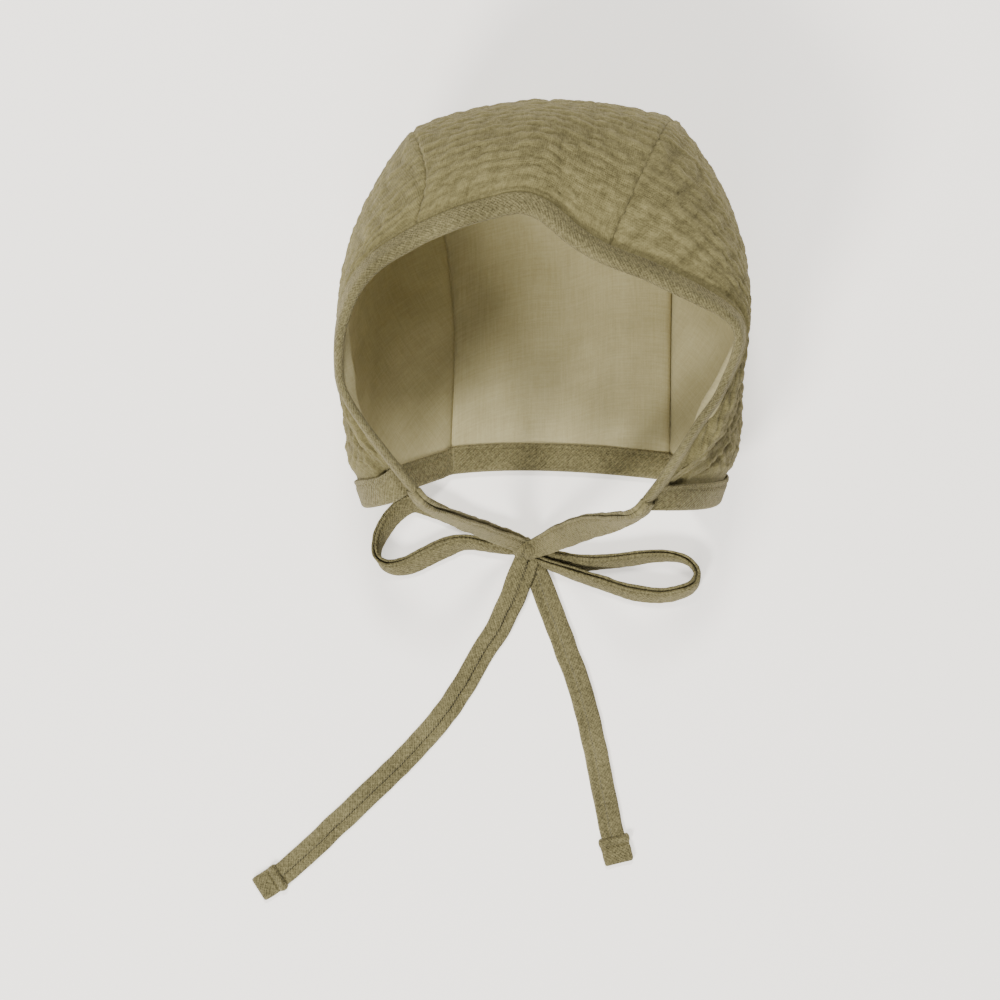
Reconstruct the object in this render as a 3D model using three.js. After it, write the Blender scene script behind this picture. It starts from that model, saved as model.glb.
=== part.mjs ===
// A baby's three-panel muslin bonnet, lying on its back with its ties done up in a bow.
// Millimetres, +Z up, the table is z = 0. The face opening looks up (+Z), the crown points to +Y
// and the ties lie towards -Y. The origin is on the table below the middle of the bonnet.
import * as THREE from "three";

// Where the middle of the bonnet lies in the layout that the tables below are written in.
const LAYOUT_CENTRE = [14.9, 66.0];

// Cloth thicknesses, counted as depths below the outermost face.
const MUSLIN_OUTER = 0;
const MUSLIN_INNER = 1.5;
const LINING_OUTER = 1.9;
const LINING_INNER = 2.8;

// The same four depths where the cloth is squeezed inside a folded tape.
const SQUEEZED = { muslinOuter: 1.3, muslinInner: 2.1, liningOuter: 2.45, liningInner: 3.0 };

// The folded tape: two legs of one tape thickness around the squeezed cloth.
const TAPE = 0.9;
const TAPE_TOTAL = 4.4;
const FRONT_LEG = 7.0;
const NECK_LEG = 10.0;
const CLOTH_INSIDE_FOLD = 1.5;
const FOLD = { outside: [[1.2, 0], [0.3, 0.9]], inside: [[1.3, 0.9], [1.05, 1.4]], thickness: 0.95 };
const FRONT_EASE = 3.5;
const NECK_EASE = 6.0;
const TAPE_CLEAR = 0.6; // the cloth stays squeezed this far past a leg's end
const FRONT_END = FRONT_LEG + TAPE_CLEAR;
const NECK_END = NECK_LEG + TAPE_CLEAR;
const FRONT_TAPE_START = 8.0; // nearest place to the corner where the front tape follows the cloth
const FRONT_TAPE_END = -1.2; // where it ends, this far past the corner, as the tie takes over
const NECK_TAPE_START = 0.6; // the neck tape's cut ends begin this far along the front edge
const NECK_TAPE_GAP = 0.5; // and this far below the front tape
const NECK_FREE_START = 0.11; // from this share of a side on, it follows the neck edge
const TILT_REACH = 8.2; // the steep stretch of the front edge, a little more than a leg

// The seams and the pointed corners.
const SEAM_GAP = 0.35;
const CORNER_STOP = 11.5;
const CORNER_EASE_FROM = 20.0;
const CORNER_EASE_TO = 28.0;

// The two chin corners, where the front edge meets the neck edge.
const CORNER_LEFT = [-28.6, 0.5, 85];
const CORNER_RIGHT = [48.3, -3.2, 85];

// One row for each rib, from the front edge (t = 0) over the crown to the neck edge (t = 1).
// A rib runs from the left corner round the hood to the right corner. It passes the left seam, the
// middle of the crown strip and the right seam. A bulge is how far a side panel stands out from the
// straight line between corner and seam, in x and y, and a peak is how far along that is most.
const RIBS = [
  { t: 0.0, leftSeam: [-25, 85.5, 106], middle: [6.5, 94, 107], rightSeam: [38, 77, 106],
    leftBulge: [-28.5, 1], leftPeak: 0.6, rightBulge: [39.5, -2], rightPeak: 0.68 },
  { t: 0.085, leftSeam: [-24, 103, 100], middle: [8.5, 112, 101], rightSeam: [42.6, 102, 99],
    leftBulge: [-27, 0], leftPeak: 0.54, rightBulge: [35.5, -1], rightPeak: 0.58 },
  { t: 0.204, leftSeam: [-28.8, 122.4, 78], middle: [11, 130.6, 80], rightSeam: [57, 126.5, 77],
    leftBulge: [-25.5, 0], leftPeak: 0.45, rightBulge: [31, 0], rightPeak: 0.47 },
  { t: 0.325, leftSeam: [-30, 127.5, 52], middle: [13.5, 137.6, 52], rightSeam: [60.5, 131, 52],
    leftBulge: [-26, 0], leftPeak: 0.44, rightBulge: [29.8, 0], rightPeak: 0.46 },
  { t: 0.463, leftSeam: [-27.5, 120, 20], middle: [15.5, 131.5, 20], rightSeam: [61.5, 124.5, 20],
    leftBulge: [-27.5, 0], leftPeak: 0.45, rightBulge: [30, 0], rightPeak: 0.46 },
  { t: 0.56, leftSeam: [-23.5, 105, 4], middle: [18, 115, 3.5], rightSeam: [62.3, 108, 4],
    leftBulge: [-29, 0], leftPeak: 0.48, rightBulge: [29.5, 0], rightPeak: 0.48 },
  { t: 0.645, leftSeam: [-19.6, 88, 0], middle: [20, 95, 0], rightSeam: [63.2, 88, 0],
    leftBulge: [-30, 0], leftPeak: 0.48, rightBulge: [29, 0], rightPeak: 0.49 },
  { t: 0.81, leftSeam: [-17.2, 56, 0], middle: [20.5, 56, 0], rightSeam: [62.7, 56, 0],
    leftBulge: [-29.5, -3], leftPeak: 0.48, rightBulge: [28.5, -2], rightPeak: 0.5 },
  { t: 1.0, leftSeam: [-18.9, 9, 0], middle: [16.4, 10.5, 0], rightSeam: [62.5, 6.8, 0],
    leftBulge: [-23, -7], leftPeak: 0.48, rightBulge: [21.5, -3.5], rightPeak: 0.46 },
];
const SIDE_FULLNESS = 2.3;

// The front edge as it lies in its own dents: x, y, z along the fold of the tape, each part from its
// first named end to its second.
const FRONT_EDGE = {
  left: [ // chin corner to left seam
    [-28.6, 0.5, 85], [-38.7, 13.4, 89.5], [-47.5, 25, 93.5], [-53.8, 36.2, 97.5], [-54.9, 46, 100.5],
    [-53.4, 57.2, 103.5], [-48, 69.1, 105], [-40, 77.4, 106], [-25, 85.5, 106],
  ],
  middle: [ // left seam, the peak over the brow, the dent beside it, right seam
    [-25, 85.5, 106], [-12.5, 90.3, 106.4], [-2.3, 92.8, 106.8], [6.5, 94, 107], [12.6, 92.3, 106.8],
    [17.8, 88.8, 106.3], [22.2, 85.2, 106], [30.6, 80.1, 106], [38, 77, 106],
  ],
  right: [ // chin corner, the tight bend at the temple, right seam
    [48.3, -3.2, 85], [56.1, 7.2, 89], [61.3, 15.2, 92], [67.3, 24.7, 95], [72.7, 32.3, 96.5],
    [76.4, 40.3, 98], [78.8, 46.7, 100], [79.8, 52.7, 101.5], [77.8, 58.6, 102.5], [72.3, 62.6, 103],
    [65.3, 65.5, 104], [56.5, 69.4, 105], [46.7, 73.9, 105.5], [38, 77, 106],
  ],
};
const FRONT_BLEND = 0.25; // the dents of the front edge have died out at this rib

// How steeply the taped edge stands, in degrees below level, at places along each part of the edge.
const EDGE_TILT = {
  left: { place: [0, 0.3, 0.55, 0.75, 1], degrees: [75, 84, 84, 62, 38] },
  middle: { place: [0, 0.35, 0.5, 0.7, 1], degrees: [38, 28, 20, 34, 50] },
  right: { place: [0, 0.3, 0.6, 0.8, 1], degrees: [62, 66, 78, 76, 50] },
};
const TILT_FADE = 24.0;

// Below the lower front edge the side panels draw in like a lip.
const LIP = { depth: 4.5, t: 0.1, tReach: 0.06, tStart: 0.04, place: 0.3, placeReach: 0.18 };

// The ties: the thickness of the folded tape, then the routes, each row x, y, z, lean and width.
// The lean turns the tape about its run: 0 lies flat, and positive lifts its left-hand edge.
const TIE_THICKNESS = 1.9;
const RIBBON_SECTION = [[-0.5, 0.22], [-0.4, 0.5], [0.4, 0.5], [0.5, 0.22]]; // shares of width and thickness
const TIP_THICKNESS = 2.6;
const TIP_RIDGE_THICKNESS = 3.4;
const TIP_CLEAR = 0.3;
const TIP_TAPER = 0.94;
const TIP_RIDGE = { from: 0.2, to: 0.5 }; // the stitched ridge falls away over this share of a tip

const CHIN_TIE_LEFT = [
  [-26.6, -0.3, 78.6, 72, 8.0], [-21.8, -3.2, 69, 62, 8.2], [-14.6, -6.9, 54, 50, 8.4],
  [-7.7, -9.8, 36, 36, 8.4], [-1.1, -12.7, 20, 22, 7.6], [6.7, -15.9, 8.8, 6, 5.2],
];
const CHIN_TIE_RIGHT = [
  [47.2, -4.5, 79.6, -66, 8.0], [41.9, -6.2, 70, -52, 8.2], [35.4, -8.2, 54, -30, 8.6],
  [28.0, -10.4, 36, -12, 9.2], [21.4, -13.4, 21, -6, 8.8], [14.4, -16.8, 9.1, 0, 5.8],
];
const LOOP_LEFT = [
  [5.0, -18.1, 4.6, -60, 5.4], [-5.8, -16.4, 4.6, -56, 6.6], [-13.7, -15.6, 4.4, -50, 7.6],
  [-19.5, -17.4, 4.3, -48, 8.4], [-26.8, -21.0, 4.3, -48, 8.4], [-34.4, -24.1, 4.3, -52, 8.4],
  [-40.8, -24.0, 4.4, -62, 8.4], [-44.2, -20.4, 4.5, -76, 8.4], [-43.8, -14.8, 4.5, -90, 8.4],
  [-40.2, -8.2, 4.5, -102, 8.4], [-35.9, -3.4, 4.4, -108, 8.4], [-31.2, -1.2, 4.3, -112, 8.4],
  [-26.4, -2.4, 4.3, -114, 8.2], [-19.0, -5.9, 4.2, -116, 7.6], [-9.0, -10.4, 4.2, -118, 6.6],
  [5.6, -14.0, 4.4, -120, 5.2],
];
const LOOP_RIGHT = [
  [15.5, -20.0, 4.2, -96, 6.4], [28.9, -22.4, 4.2, -98, 7.4], [40.6, -22.4, 4.4, -100, 8.4],
  [50.7, -21.0, 4.4, -98, 8.4], [59.7, -20.3, 4.4, -94, 8.4], [67.3, -21.9, 4.5, -88, 8.4],
  [71.3, -26.0, 4.5, -80, 8.4], [70.4, -30.6, 4.5, -74, 8.4], [65.2, -33.7, 4.4, -72, 8.4],
  [56.1, -34.8, 4.4, -72, 8.4], [46.3, -33.3, 4.4, -74, 8.4], [36.2, -30.2, 4.3, -78, 8.0],
  [26.1, -27.0, 4.2, -84, 7.4], [14.7, -23.9, 5.4, -90, 5.8],
];
const TAIL_LEFT = [
  [9.2, -22.3, 4.6, 0, 9.0], [7.2, -27.9, 4.1, 0, 9.4], [4.7, -34.5, 3.6, 0, 9.2],
  [0.0, -44.7, 2.2, 0, 8.8], [-6.2, -55.2, 1.1, 0, 8.4], [-12.3, -65.7, 1.1, 0, 8.4],
  [-19.6, -76.6, 1.1, 0, 8.4], [-27.6, -86.4, 1.1, 0, 8.4], [-36.7, -95.9, 1.1, 0, 8.4],
  [-47.2, -106.4, 1.1, 0, 8.4], [-58.5, -117.0, 1.1, 0, 8.4], [-69.0, -126.8, 1.1, 0, 8.4],
  [-78.8, -135.5, 1.1, 0, 8.4],
];
const TAIL_RIGHT = [
  [13.9, -27.0, 1.9, 0, 7.0], [15.3, -30.8, 1.4, 0, 8.0], [17.4, -36.7, 1.1, 0, 8.4],
  [20.3, -44.3, 1.1, 0, 8.4], [24.3, -54.8, 1.1, 0, 8.4], [28.3, -66.1, 1.1, 0, 8.4],
  [30.9, -74.5, 1.1, 0, 8.4], [33.1, -82.8, 1.1, 0, 8.4], [35.2, -92.6, 1.1, 0, 8.4],
  [37.0, -102.4, 1.1, 0, 8.4], [38.9, -111.9, 1.1, 0, 8.4], [41.0, -122.0, 1.1, 0, 8.4],
];
// Each folded tip: where its ridge begins, where it ends, and its width.
const TIP_LEFT = { start: [-79.6, -136.3], end: [-87.9, -141.6], width: 9.8 };
const TIP_RIGHT = { start: [41.15, -122.4], end: [43.4, -132.0], width: 11.2 };
const KNOT = { centre: [10.4, -17.6, 5.2], radii: [5.0, 3.9, 5.0] };

// How finely the cloth and the tapes are divided. The places are shares of a rib from corner to seam.
const SIDE_PLACES = [0.12, 0.165, 0.22, 0.28, 0.36, 0.44, 0.52, 0.59, 0.66, 0.73, 0.8, 0.87, 0.94];
const MIDDLE_STEPS = 10;
const MIDDLE_ROWS = 15;
const SIDE_ROWS = 12;
const MOST_TAPED = 0.8; // the two tapes' rows take no more than this share of a rib's run
const STEEPEST_SINE = 0.96;
const CORNER_RUN = 0.04; // the first part of a side, for the run of the fold at the corner
const STEP = 0.01; // for rates and runs
const SMALL_ACROSS = 0.004; // for the slope of a panel from corner to seam
const SMALL_ALONG = 0.0015; // for its slope from front edge to neck edge
const STEPS = { chin: 14, loop: 30, tailLeft: 22, tailRight: 18, tip: 5 };
const KNOT_SIDES = 14;
const KNOT_RINGS = 9;

// Finishes, as base colours.
const MUSLIN = new THREE.MeshStandardMaterial({ color: "#8f8660", roughness: 0.92, metalness: 0 });
const LINING = new THREE.MeshStandardMaterial({ color: "#a89e78", roughness: 0.85, metalness: 0 });
const TAPE_CLOTH = new THREE.MeshStandardMaterial({ color: "#8c8461", roughness: 0.9, metalness: 0 });

// Vectors as plain arrays of three numbers.
const add = (a, b, k = 1) => [a[0] + b[0] * k, a[1] + b[1] * k, a[2] + b[2] * k];
const sub = (a, b) => [a[0] - b[0], a[1] - b[1], a[2] - b[2]];
const scale = (a, k) => [a[0] * k, a[1] * k, a[2] * k];
const dot = (a, b) => a[0] * b[0] + a[1] * b[1] + a[2] * b[2];
const cross = (a, b) => [a[1] * b[2] - a[2] * b[1], a[2] * b[0] - a[0] * b[2], a[0] * b[1] - a[1] * b[0]];
const length = (a) => Math.hypot(a[0], a[1], a[2]);
const unit = (a) => scale(a, 1 / length(a));
const clamp = (x, low, high) => Math.min(high, Math.max(low, x));
const smooth = (x, from, to) => {
  const u = clamp((x - from) / (to - from), 0, 1);
  return u * u * (3 - 2 * u);
};

// A cubic through values at places. Slopes that never overshoot keep flat stretches flat.
function spline(places, values, overshoots = false) {
  const last = places.length - 1;
  const slopes = values.map((value, i) => {
    const back = i > 0 ? (value - values[i - 1]) / (places[i] - places[i - 1]) : null;
    const ahead = i < last ? (values[i + 1] - value) / (places[i + 1] - places[i]) : null;
    if (back === null) return ahead;
    if (ahead === null) return back;
    if (overshoots) return (values[i + 1] - values[i - 1]) / (places[i + 1] - places[i - 1]);
    if (back * ahead <= 0) return 0;
    const before = places[i] - places[i - 1];
    const after = places[i + 1] - places[i];
    const one = 2 * after + before;
    const two = after + 2 * before;
    return (one + two) / (one / back + two / ahead);
  });
  return (x) => {
    let i = 0;
    while (i < last - 1 && x >= places[i + 1]) i += 1;
    const step = places[i + 1] - places[i];
    const u = (x - places[i]) / step;
    return (
      (2 * u ** 3 - 3 * u ** 2 + 1) * values[i] +
      (u ** 3 - 2 * u ** 2 + u) * step * slopes[i] +
      (3 * u ** 2 - 2 * u ** 3) * values[i + 1] +
      (u ** 3 - u ** 2) * step * slopes[i + 1]
    );
  };
}

// A smooth curve through rows of numbers, by the share of its length from 0 to 1.
function smoothCurve(rows) {
  const along = [0];
  for (let i = 1; i < rows.length; i += 1) {
    along.push(along[i - 1] + length(sub(rows[i].slice(0, 3), rows[i - 1].slice(0, 3))));
  }
  const places = along.map((d) => d / along[along.length - 1]);
  const columns = rows[0].map((_, k) => spline(places, rows.map((row) => row[k]), true));
  return (s) => columns.map((column) => column(s));
}

// The ribs as smooth functions of t.
const RIB_PLACES = RIBS.map((rib) => rib.t);
const ribColumn = (pick) => spline(RIB_PLACES, RIBS.map(pick));
const ribVector = (name, size) => {
  const columns = Array.from({ length: size }, (_, k) => ribColumn((rib) => rib[name][k]));
  return (t) => columns.map((column) => column(t));
};
const middleAt = ribVector("middle", 3);
const SIDES = {
  left: {
    corner: CORNER_LEFT, seam: ribVector("leftSeam", 3), bulge: ribVector("leftBulge", 2),
    peak: ribColumn((rib) => rib.leftPeak), inward: 1, turn: 1,
  },
  right: {
    corner: CORNER_RIGHT, seam: ribVector("rightSeam", 3), bulge: ribVector("rightBulge", 2),
    peak: ribColumn((rib) => rib.rightPeak), inward: -1, turn: -1,
  },
};
const FRONT = {
  left: smoothCurve(FRONT_EDGE.left),
  middle: smoothCurve(FRONT_EDGE.middle),
  right: smoothCurve(FRONT_EDGE.right),
};
const TILT = Object.fromEntries(
  Object.entries(EDGE_TILT).map(([part, table]) => [part, spline(table.place, table.degrees)]),
);

// A side panel before the dents of its front edge: from the corner (s = 0) to the seam (s = 1).
function plainSide(part, t, s) {
  const side = SIDES[part];
  const bulge = side.bulge(t);
  const power = Math.log(0.5) / Math.log(side.peak(t));
  const fullness = 1 - Math.abs(2 * Math.max(s, 1e-6) ** power - 1) ** SIDE_FULLNESS;
  const lip =
    LIP.depth *
    Math.exp(-(((t - LIP.t) / LIP.tReach) ** 2)) *
    (1 - Math.exp(-((t / LIP.tStart) ** 2))) *
    Math.exp(-(((s - LIP.place) / LIP.placeReach) ** 2));
  const point = add(side.corner, sub(side.seam(t), side.corner), s);
  return [point[0] + bulge[0] * fullness + lip * side.inward, point[1] + bulge[1] * fullness, point[2]];
}

// The crown strip before the dents: an arc through its two seams and its middle.
function plainMiddle(t, u) {
  const left = scale(SIDES.left.seam(t), (2 * u - 1) * (u - 1));
  const middle = scale(middleAt(t), 4 * u * (1 - u));
  return add(add(left, middle), scale(SIDES.right.seam(t), u * (2 * u - 1)));
}

const plain = (part, t, s) => (part === "middle" ? plainMiddle(t, s) : plainSide(part, t, s));

// The hood with the dents of its front edge, which die out towards the crown.
function dented(part, t, s) {
  const point = plain(part, t, s);
  if (t >= FRONT_BLEND) return point;
  const weight = (1 - t / FRONT_BLEND) ** 2;
  return add(point, sub(FRONT[part](s), plain(part, 0, s)), weight);
}

// Millimetres along the cloth for one unit of t, at the front edge and at the neck edge.
const frontRate = (part, s) => length(sub(dented(part, STEP, s), dented(part, 0, s))) / STEP;
const neckRate = (part, s) => length(sub(dented(part, 1, s), dented(part, 1 - STEP, s))) / STEP;

// The level direction that points away from the opening, at right angles to the front edge.
function awayFromOpening(part, s) {
  const low = clamp(s - STEP, 0, 1);
  const high = clamp(s + STEP, 0, 1);
  const run = sub(FRONT[part](high), FRONT[part](low));
  const turned = part === "right" ? [run[1], -run[0], 0] : [-run[1], run[0], 0];
  return unit(turned);
}

// The outermost face of the hood. The taped front edge stands at its own tilt, and the cloth
// below the tape eases back to the hood.
function hoodPoint(part, t, s) {
  const rate = frontRate(part, s);
  const tapeEnd = Math.min(TILT_REACH / rate, 0.5);
  const fade = TILT_FADE / rate;
  const point = dented(part, t, s);
  if (t >= tapeEnd + fade) return point;
  const tilt = THREE.MathUtils.degToRad(TILT[part](s));
  const run = add(scale(awayFromOpening(part, s), Math.cos(tilt)), [0, 0, 1], -Math.sin(tilt));
  const edge = FRONT[part](s);
  if (t <= tapeEnd) return add(edge, run, t * rate);
  const shift = sub(add(edge, run, tapeEnd * rate), dented(part, tapeEnd, s));
  return add(point, shift, (1 - (t - tapeEnd) / fade) ** 2);
}

// The outward direction at a point of one panel.
function panelNormal(part, t, s) {
  const across = sub(
    hoodPoint(part, t, Math.min(s + SMALL_ACROSS, 1)),
    hoodPoint(part, t, Math.max(s - SMALL_ACROSS, 0)),
  );
  const along = sub(
    hoodPoint(part, Math.min(t + SMALL_ALONG, 1), s),
    hoodPoint(part, Math.max(t - SMALL_ALONG, 0), s),
  );
  return scale(unit(cross(across, along)), part === "right" ? -1 : 1);
}

// The same, mitred where two panels meet at a seam.
function outward(part, t, s) {
  const normal = panelNormal(part, t, s);
  let other = null;
  if (part === "middle" && s < STEP) other = panelNormal("left", t, 1);
  if (part === "middle" && s > 1 - STEP) other = panelNormal("right", t, 1);
  if (part === "left" && s > 1 - STEP) other = panelNormal("middle", t, 0);
  if (part === "right" && s > 1 - STEP) other = panelNormal("middle", t, 1);
  if (!other) return normal;
  const mitre = unit(add(normal, other));
  return scale(mitre, 1 / dot(mitre, normal));
}

// How far a point of a side panel is from its corner, then how far it is from each taped edge.
function reach(part, t, s) {
  if (part === "middle") return Infinity;
  return length(sub(hoodPoint(part, t, s), SIDES[part].corner));
}

function frontDistance(part, t, s) {
  const rate = frontRate(part, s);
  const radius = reach(part, 0, s);
  if (radius === Infinity) return t * rate;
  return radius * Math.sin(Math.min((t * rate) / radius, Math.PI / 2));
}

function neckDistance(part, t, s) {
  const rate = neckRate(part, s);
  const radius = reach(part, 1, s);
  if (radius === Infinity) return (1 - t) * rate;
  return radius * Math.sin(Math.min(((1 - t) * rate) / radius, Math.PI / 2));
}

// How much the cloth is squeezed: 1 inside a tape, easing to 0 beside it.
function squeeze(part, t, s) {
  const front = 1 - smooth(frontDistance(part, t, s), FRONT_END, FRONT_END + FRONT_EASE);
  const neck = 1 - smooth(neckDistance(part, t, s), NECK_END, NECK_END + NECK_EASE);
  const corner = 1 - smooth(reach(part, t, s), CORNER_EASE_FROM, CORNER_EASE_TO);
  return Math.max(front, neck, corner);
}

// The places along t for the rows of a panel's mesh at one s, so that rows follow both tapes.
function rowPlaces(part, s, count) {
  const rate = frontRate(part, s);
  const backRate = neckRate(part, s);
  const front = [CLOTH_INSIDE_FOLD, FRONT_LEG / 2, FRONT_END, FRONT_END + FRONT_EASE];
  const neck = [NECK_END + NECK_EASE, NECK_END, CLOTH_INSIDE_FOLD];
  const radius = reach(part, 0, s);
  const backRadius = reach(part, 1, s);
  const turn = (d, r, k) => (r === Infinity ? d / k : (Math.asin(Math.min(d / r, STEEPEST_SINE)) * r) / k);
  let starts = front.map((d) => turn(d, radius, rate));
  let ends = neck.map((d) => turn(d, backRadius, backRate));
  const used = starts[3] + ends[0];
  if (used > MOST_TAPED) {
    starts = starts.map((t) => (t * MOST_TAPED) / used);
    ends = ends.map((t) => (t * MOST_TAPED) / used);
  }
  const from = starts[3];
  const to = 1 - ends[0];
  const between = Array.from({ length: count }, (_, i) => from + ((to - from) * (i + 1)) / (count + 1));
  return [...starts, ...between, ...ends.map((t) => 1 - t)];
}

// The columns of a mesh along s: a side starts at its corner stop, and all end half a gap before a seam.

function sidePlaces(part) {
  const size = length(sub(FRONT[part](1), SIDES[part].corner));
  return [CORNER_STOP / size, ...SIDE_PLACES, 1 - SEAM_GAP / 2 / size];
}

function middlePlaces() {
  const width = length(sub(FRONT.middle(1), FRONT.middle(0)));
  const places = Array.from({ length: MIDDLE_STEPS + 1 }, (_, i) => i / MIDDLE_STEPS);
  places[0] = SEAM_GAP / 2 / width;
  places[MIDDLE_STEPS] = 1 - SEAM_GAP / 2 / width;
  return places;
}

const places = (part) => (part === "middle" ? middlePlaces() : sidePlaces(part));

// A closed shell between two grids of points of the same size.
function closedShell(outer, inner) {
  const rows = outer.length;
  const columns = outer[0].length;
  const points = [...outer.flat(), ...inner.flat()];
  const top = (i, j) => i * columns + j;
  const under = (i, j) => rows * columns + i * columns + j;
  const faces = [];
  const quad = (a, b, c, d) => faces.push([a, b, c], [a, c, d]);
  for (let i = 0; i < rows - 1; i += 1) {
    for (let j = 0; j < columns - 1; j += 1) {
      quad(top(i, j), top(i, j + 1), top(i + 1, j + 1), top(i + 1, j));
      quad(under(i, j), under(i + 1, j), under(i + 1, j + 1), under(i, j + 1));
    }
  }
  for (let i = 0; i < rows - 1; i += 1) {
    quad(top(i, 0), top(i + 1, 0), under(i + 1, 0), under(i, 0));
    quad(top(i, columns - 1), under(i, columns - 1), under(i + 1, columns - 1), top(i + 1, columns - 1));
  }
  for (let j = 0; j < columns - 1; j += 1) {
    quad(top(0, j), under(0, j), under(0, j + 1), top(0, j + 1));
    quad(top(rows - 1, j), top(rows - 1, j + 1), under(rows - 1, j + 1), under(rows - 1, j));
  }
  let volume = 0;
  faces.forEach(([a, b, c]) => {
    volume += dot(points[a], cross(points[b], points[c]));
  });
  const facing = volume < 0 ? faces.map(([a, b, c]) => [a, c, b]) : faces;
  const geometry = new THREE.BufferGeometry();
  geometry.setAttribute("position", new THREE.Float32BufferAttribute(points.flat(), 3));
  geometry.setIndex(facing.flat());
  geometry.computeVertexNormals();
  return geometry;
}

// One panel of cloth between two depths, each given where it is free and where it is squeezed.
function panel(part, rowCount, free, squeezed) {
  const columns = places(part).map((s) =>
    rowPlaces(part, s, rowCount).map((t) => {
      const point = hoodPoint(part, t, s);
      const normal = outward(part, t, s);
      const share = squeeze(part, t, s);
      return free.map((depth, k) => add(point, normal, -(depth + (squeezed[k] - depth) * share)));
    }),
  );
  const rows = (k) => columns[0].map((_, i) => columns.map((column) => column[i][k]));
  return closedShell(rows(0), rows(1));
}

const muslinPanel = (part, rowCount) =>
  panel(part, rowCount, [MUSLIN_OUTER, MUSLIN_INNER], [SQUEEZED.muslinOuter, SQUEEZED.muslinInner]);
const liningPanel = (part, rowCount) =>
  panel(part, rowCount, [LINING_OUTER, LINING_INNER], [SQUEEZED.liningOuter, SQUEEZED.liningInner]);

// The tape's section: distance from the fold and depth, on its outside and on its inside.
function tapeSection(leg) {
  const middle = TAPE_TOTAL / 2;
  const outside = [[leg, 0], [leg / 2, 0], ...FOLD.outside, [0, middle]];
  const inside = [[leg, TAPE], [leg / 2, TAPE], ...FOLD.inside, [FOLD.thickness, middle]];
  const mirror = (chain) => chain.slice(0, -1).reverse().map(([d, depth]) => [d, TAPE_TOTAL - depth]);
  return [[...outside, ...mirror(outside)], [...inside, ...mirror(inside)]];
}

// A point of the cloth a distance in from an edge, square to that edge.
function inFromEdge(part, edge, s, distance) {
  const rate = edge === "front" ? frontRate(part, s) : neckRate(part, s);
  if (part === "middle") {
    const t = distance / rate;
    return [edge === "front" ? t : 1 - t, s];
  }
  const radius = reach(part, edge === "front" ? 0 : 1, s);
  const turn = (Math.atan2(distance, radius) * radius) / rate;
  const stretch = 1 + (Math.hypot(1, distance / radius) - 1) * (1 - s);
  return [edge === "front" ? turn : 1 - turn, Math.min(s * stretch, 1)];
}

// One station of a tape: the two chains of its section at one place on the edge.
function tapeStation(part, edge, s, leg) {
  return tapeSection(leg).map((chain) =>
    chain.map(([distance, depth]) => {
      const [t, across] = inFromEdge(part, edge, s, distance);
      return add(hoodPoint(part, t, across), outward(part, t, across), -depth);
    }),
  );
}

// A station carried on past the corner: the last station slid along the run of the fold.
function slid(station, offset) {
  return station.map((chain) => chain.map((point) => add(point, offset)));
}

// The front tape goes round the whole front edge and a little past both corners.
function frontBinding() {
  const cornerStations = (part) => {
    const size = length(sub(FRONT[part](1), SIDES[part].corner));
    const first = FRONT_TAPE_START / size;
    const station = tapeStation(part, "front", first, FRONT_LEG);
    const run = unit(sub(FRONT[part](CORNER_RUN), FRONT[part](0)));
    return [FRONT_TAPE_END, FRONT_TAPE_START / 2].map((d) => {
      const fold = d > 0 ? FRONT[part](d / size) : add(SIDES[part].corner, run, d);
      return slid(station, sub(fold, FRONT[part](first)));
    }).concat([station]);
  };
  const sideStations = (part) =>
    sidePlaces(part).slice(1, -1).map((s) => tapeStation(part, "front", s, FRONT_LEG));
  const middleStations = middlePlaces().map((u) => tapeStation("middle", "front", u, FRONT_LEG));
  const stations = [
    ...cornerStations("left"), ...sideStations("left"),
    ...middleStations,
    ...sideStations("right").reverse(), ...cornerStations("right").reverse(),
  ];
  return closedShell(stations.map((pair) => pair[0]), stations.map((pair) => pair[1]));
}

// The neck tape runs between the two ends of the front tape, and its own ends are cut to fit them.
function neckBand() {
  const sideStations = (part) => {
    const size = length(sub(FRONT[part](1), SIDES[part].corner));
    const start = FRONT_TAPE_START / size;
    const [outside] = tapeStation(part, "front", start, FRONT_LEG);
    const legEnd = outside[0];
    const down = unit(sub(legEnd, outside[1]));
    const inward = unit(sub(outside[outside.length - 1], legEnd));
    const first = tapeSection(NECK_LEG).map((chain) =>
      chain.map(([distance, depth]) => {
        const point = add(add(legEnd, down, NECK_TAPE_GAP), inward, depth);
        return add(point, sub(FRONT[part]((distance + NECK_TAPE_START) / size), FRONT[part](start)));
      }),
    );
    const rest = sidePlaces(part).slice(1, -1).filter((s) => s > NECK_FREE_START);
    return [first, ...rest.map((s) => tapeStation(part, "neck", s, NECK_LEG))];
  };
  const middleStations = middlePlaces().map((u) => tapeStation("middle", "neck", u, NECK_LEG));
  const stations = [...sideStations("left"), ...middleStations, ...sideStations("right").reverse()];
  return closedShell(stations.map((pair) => pair[0]), stations.map((pair) => pair[1]));
}

// The flat folded tape along a route, with rounded edges.
function ribbon(route, steps, thickness = () => TIE_THICKNESS) {
  const along = smoothCurve(route);
  const top = [];
  const bottom = [];
  for (let i = 0; i <= steps; i += 1) {
    const s = i / steps;
    const [x, y, z, lean, width] = along(s);
    const run = unit(sub(along(Math.min(s + STEP, 1)).slice(0, 3), along(Math.max(s - STEP, 0)).slice(0, 3)));
    const left = unit(cross([0, 0, 1], run));
    const up = cross(run, left);
    const angle = THREE.MathUtils.degToRad(lean);
    const wide = add(scale(left, Math.cos(angle)), up, Math.sin(angle));
    const thick = cross(run, wide);
    const corner = (w, h) => add(add([x, y, z], wide, w * width), thick, h * thickness(s));
    top.push(RIBBON_SECTION.map(([w, h]) => corner(w, h)));
    bottom.push(RIBBON_SECTION.map(([w, h]) => corner(w, -h)));
  }
  return closedShell(top, bottom);
}

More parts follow.
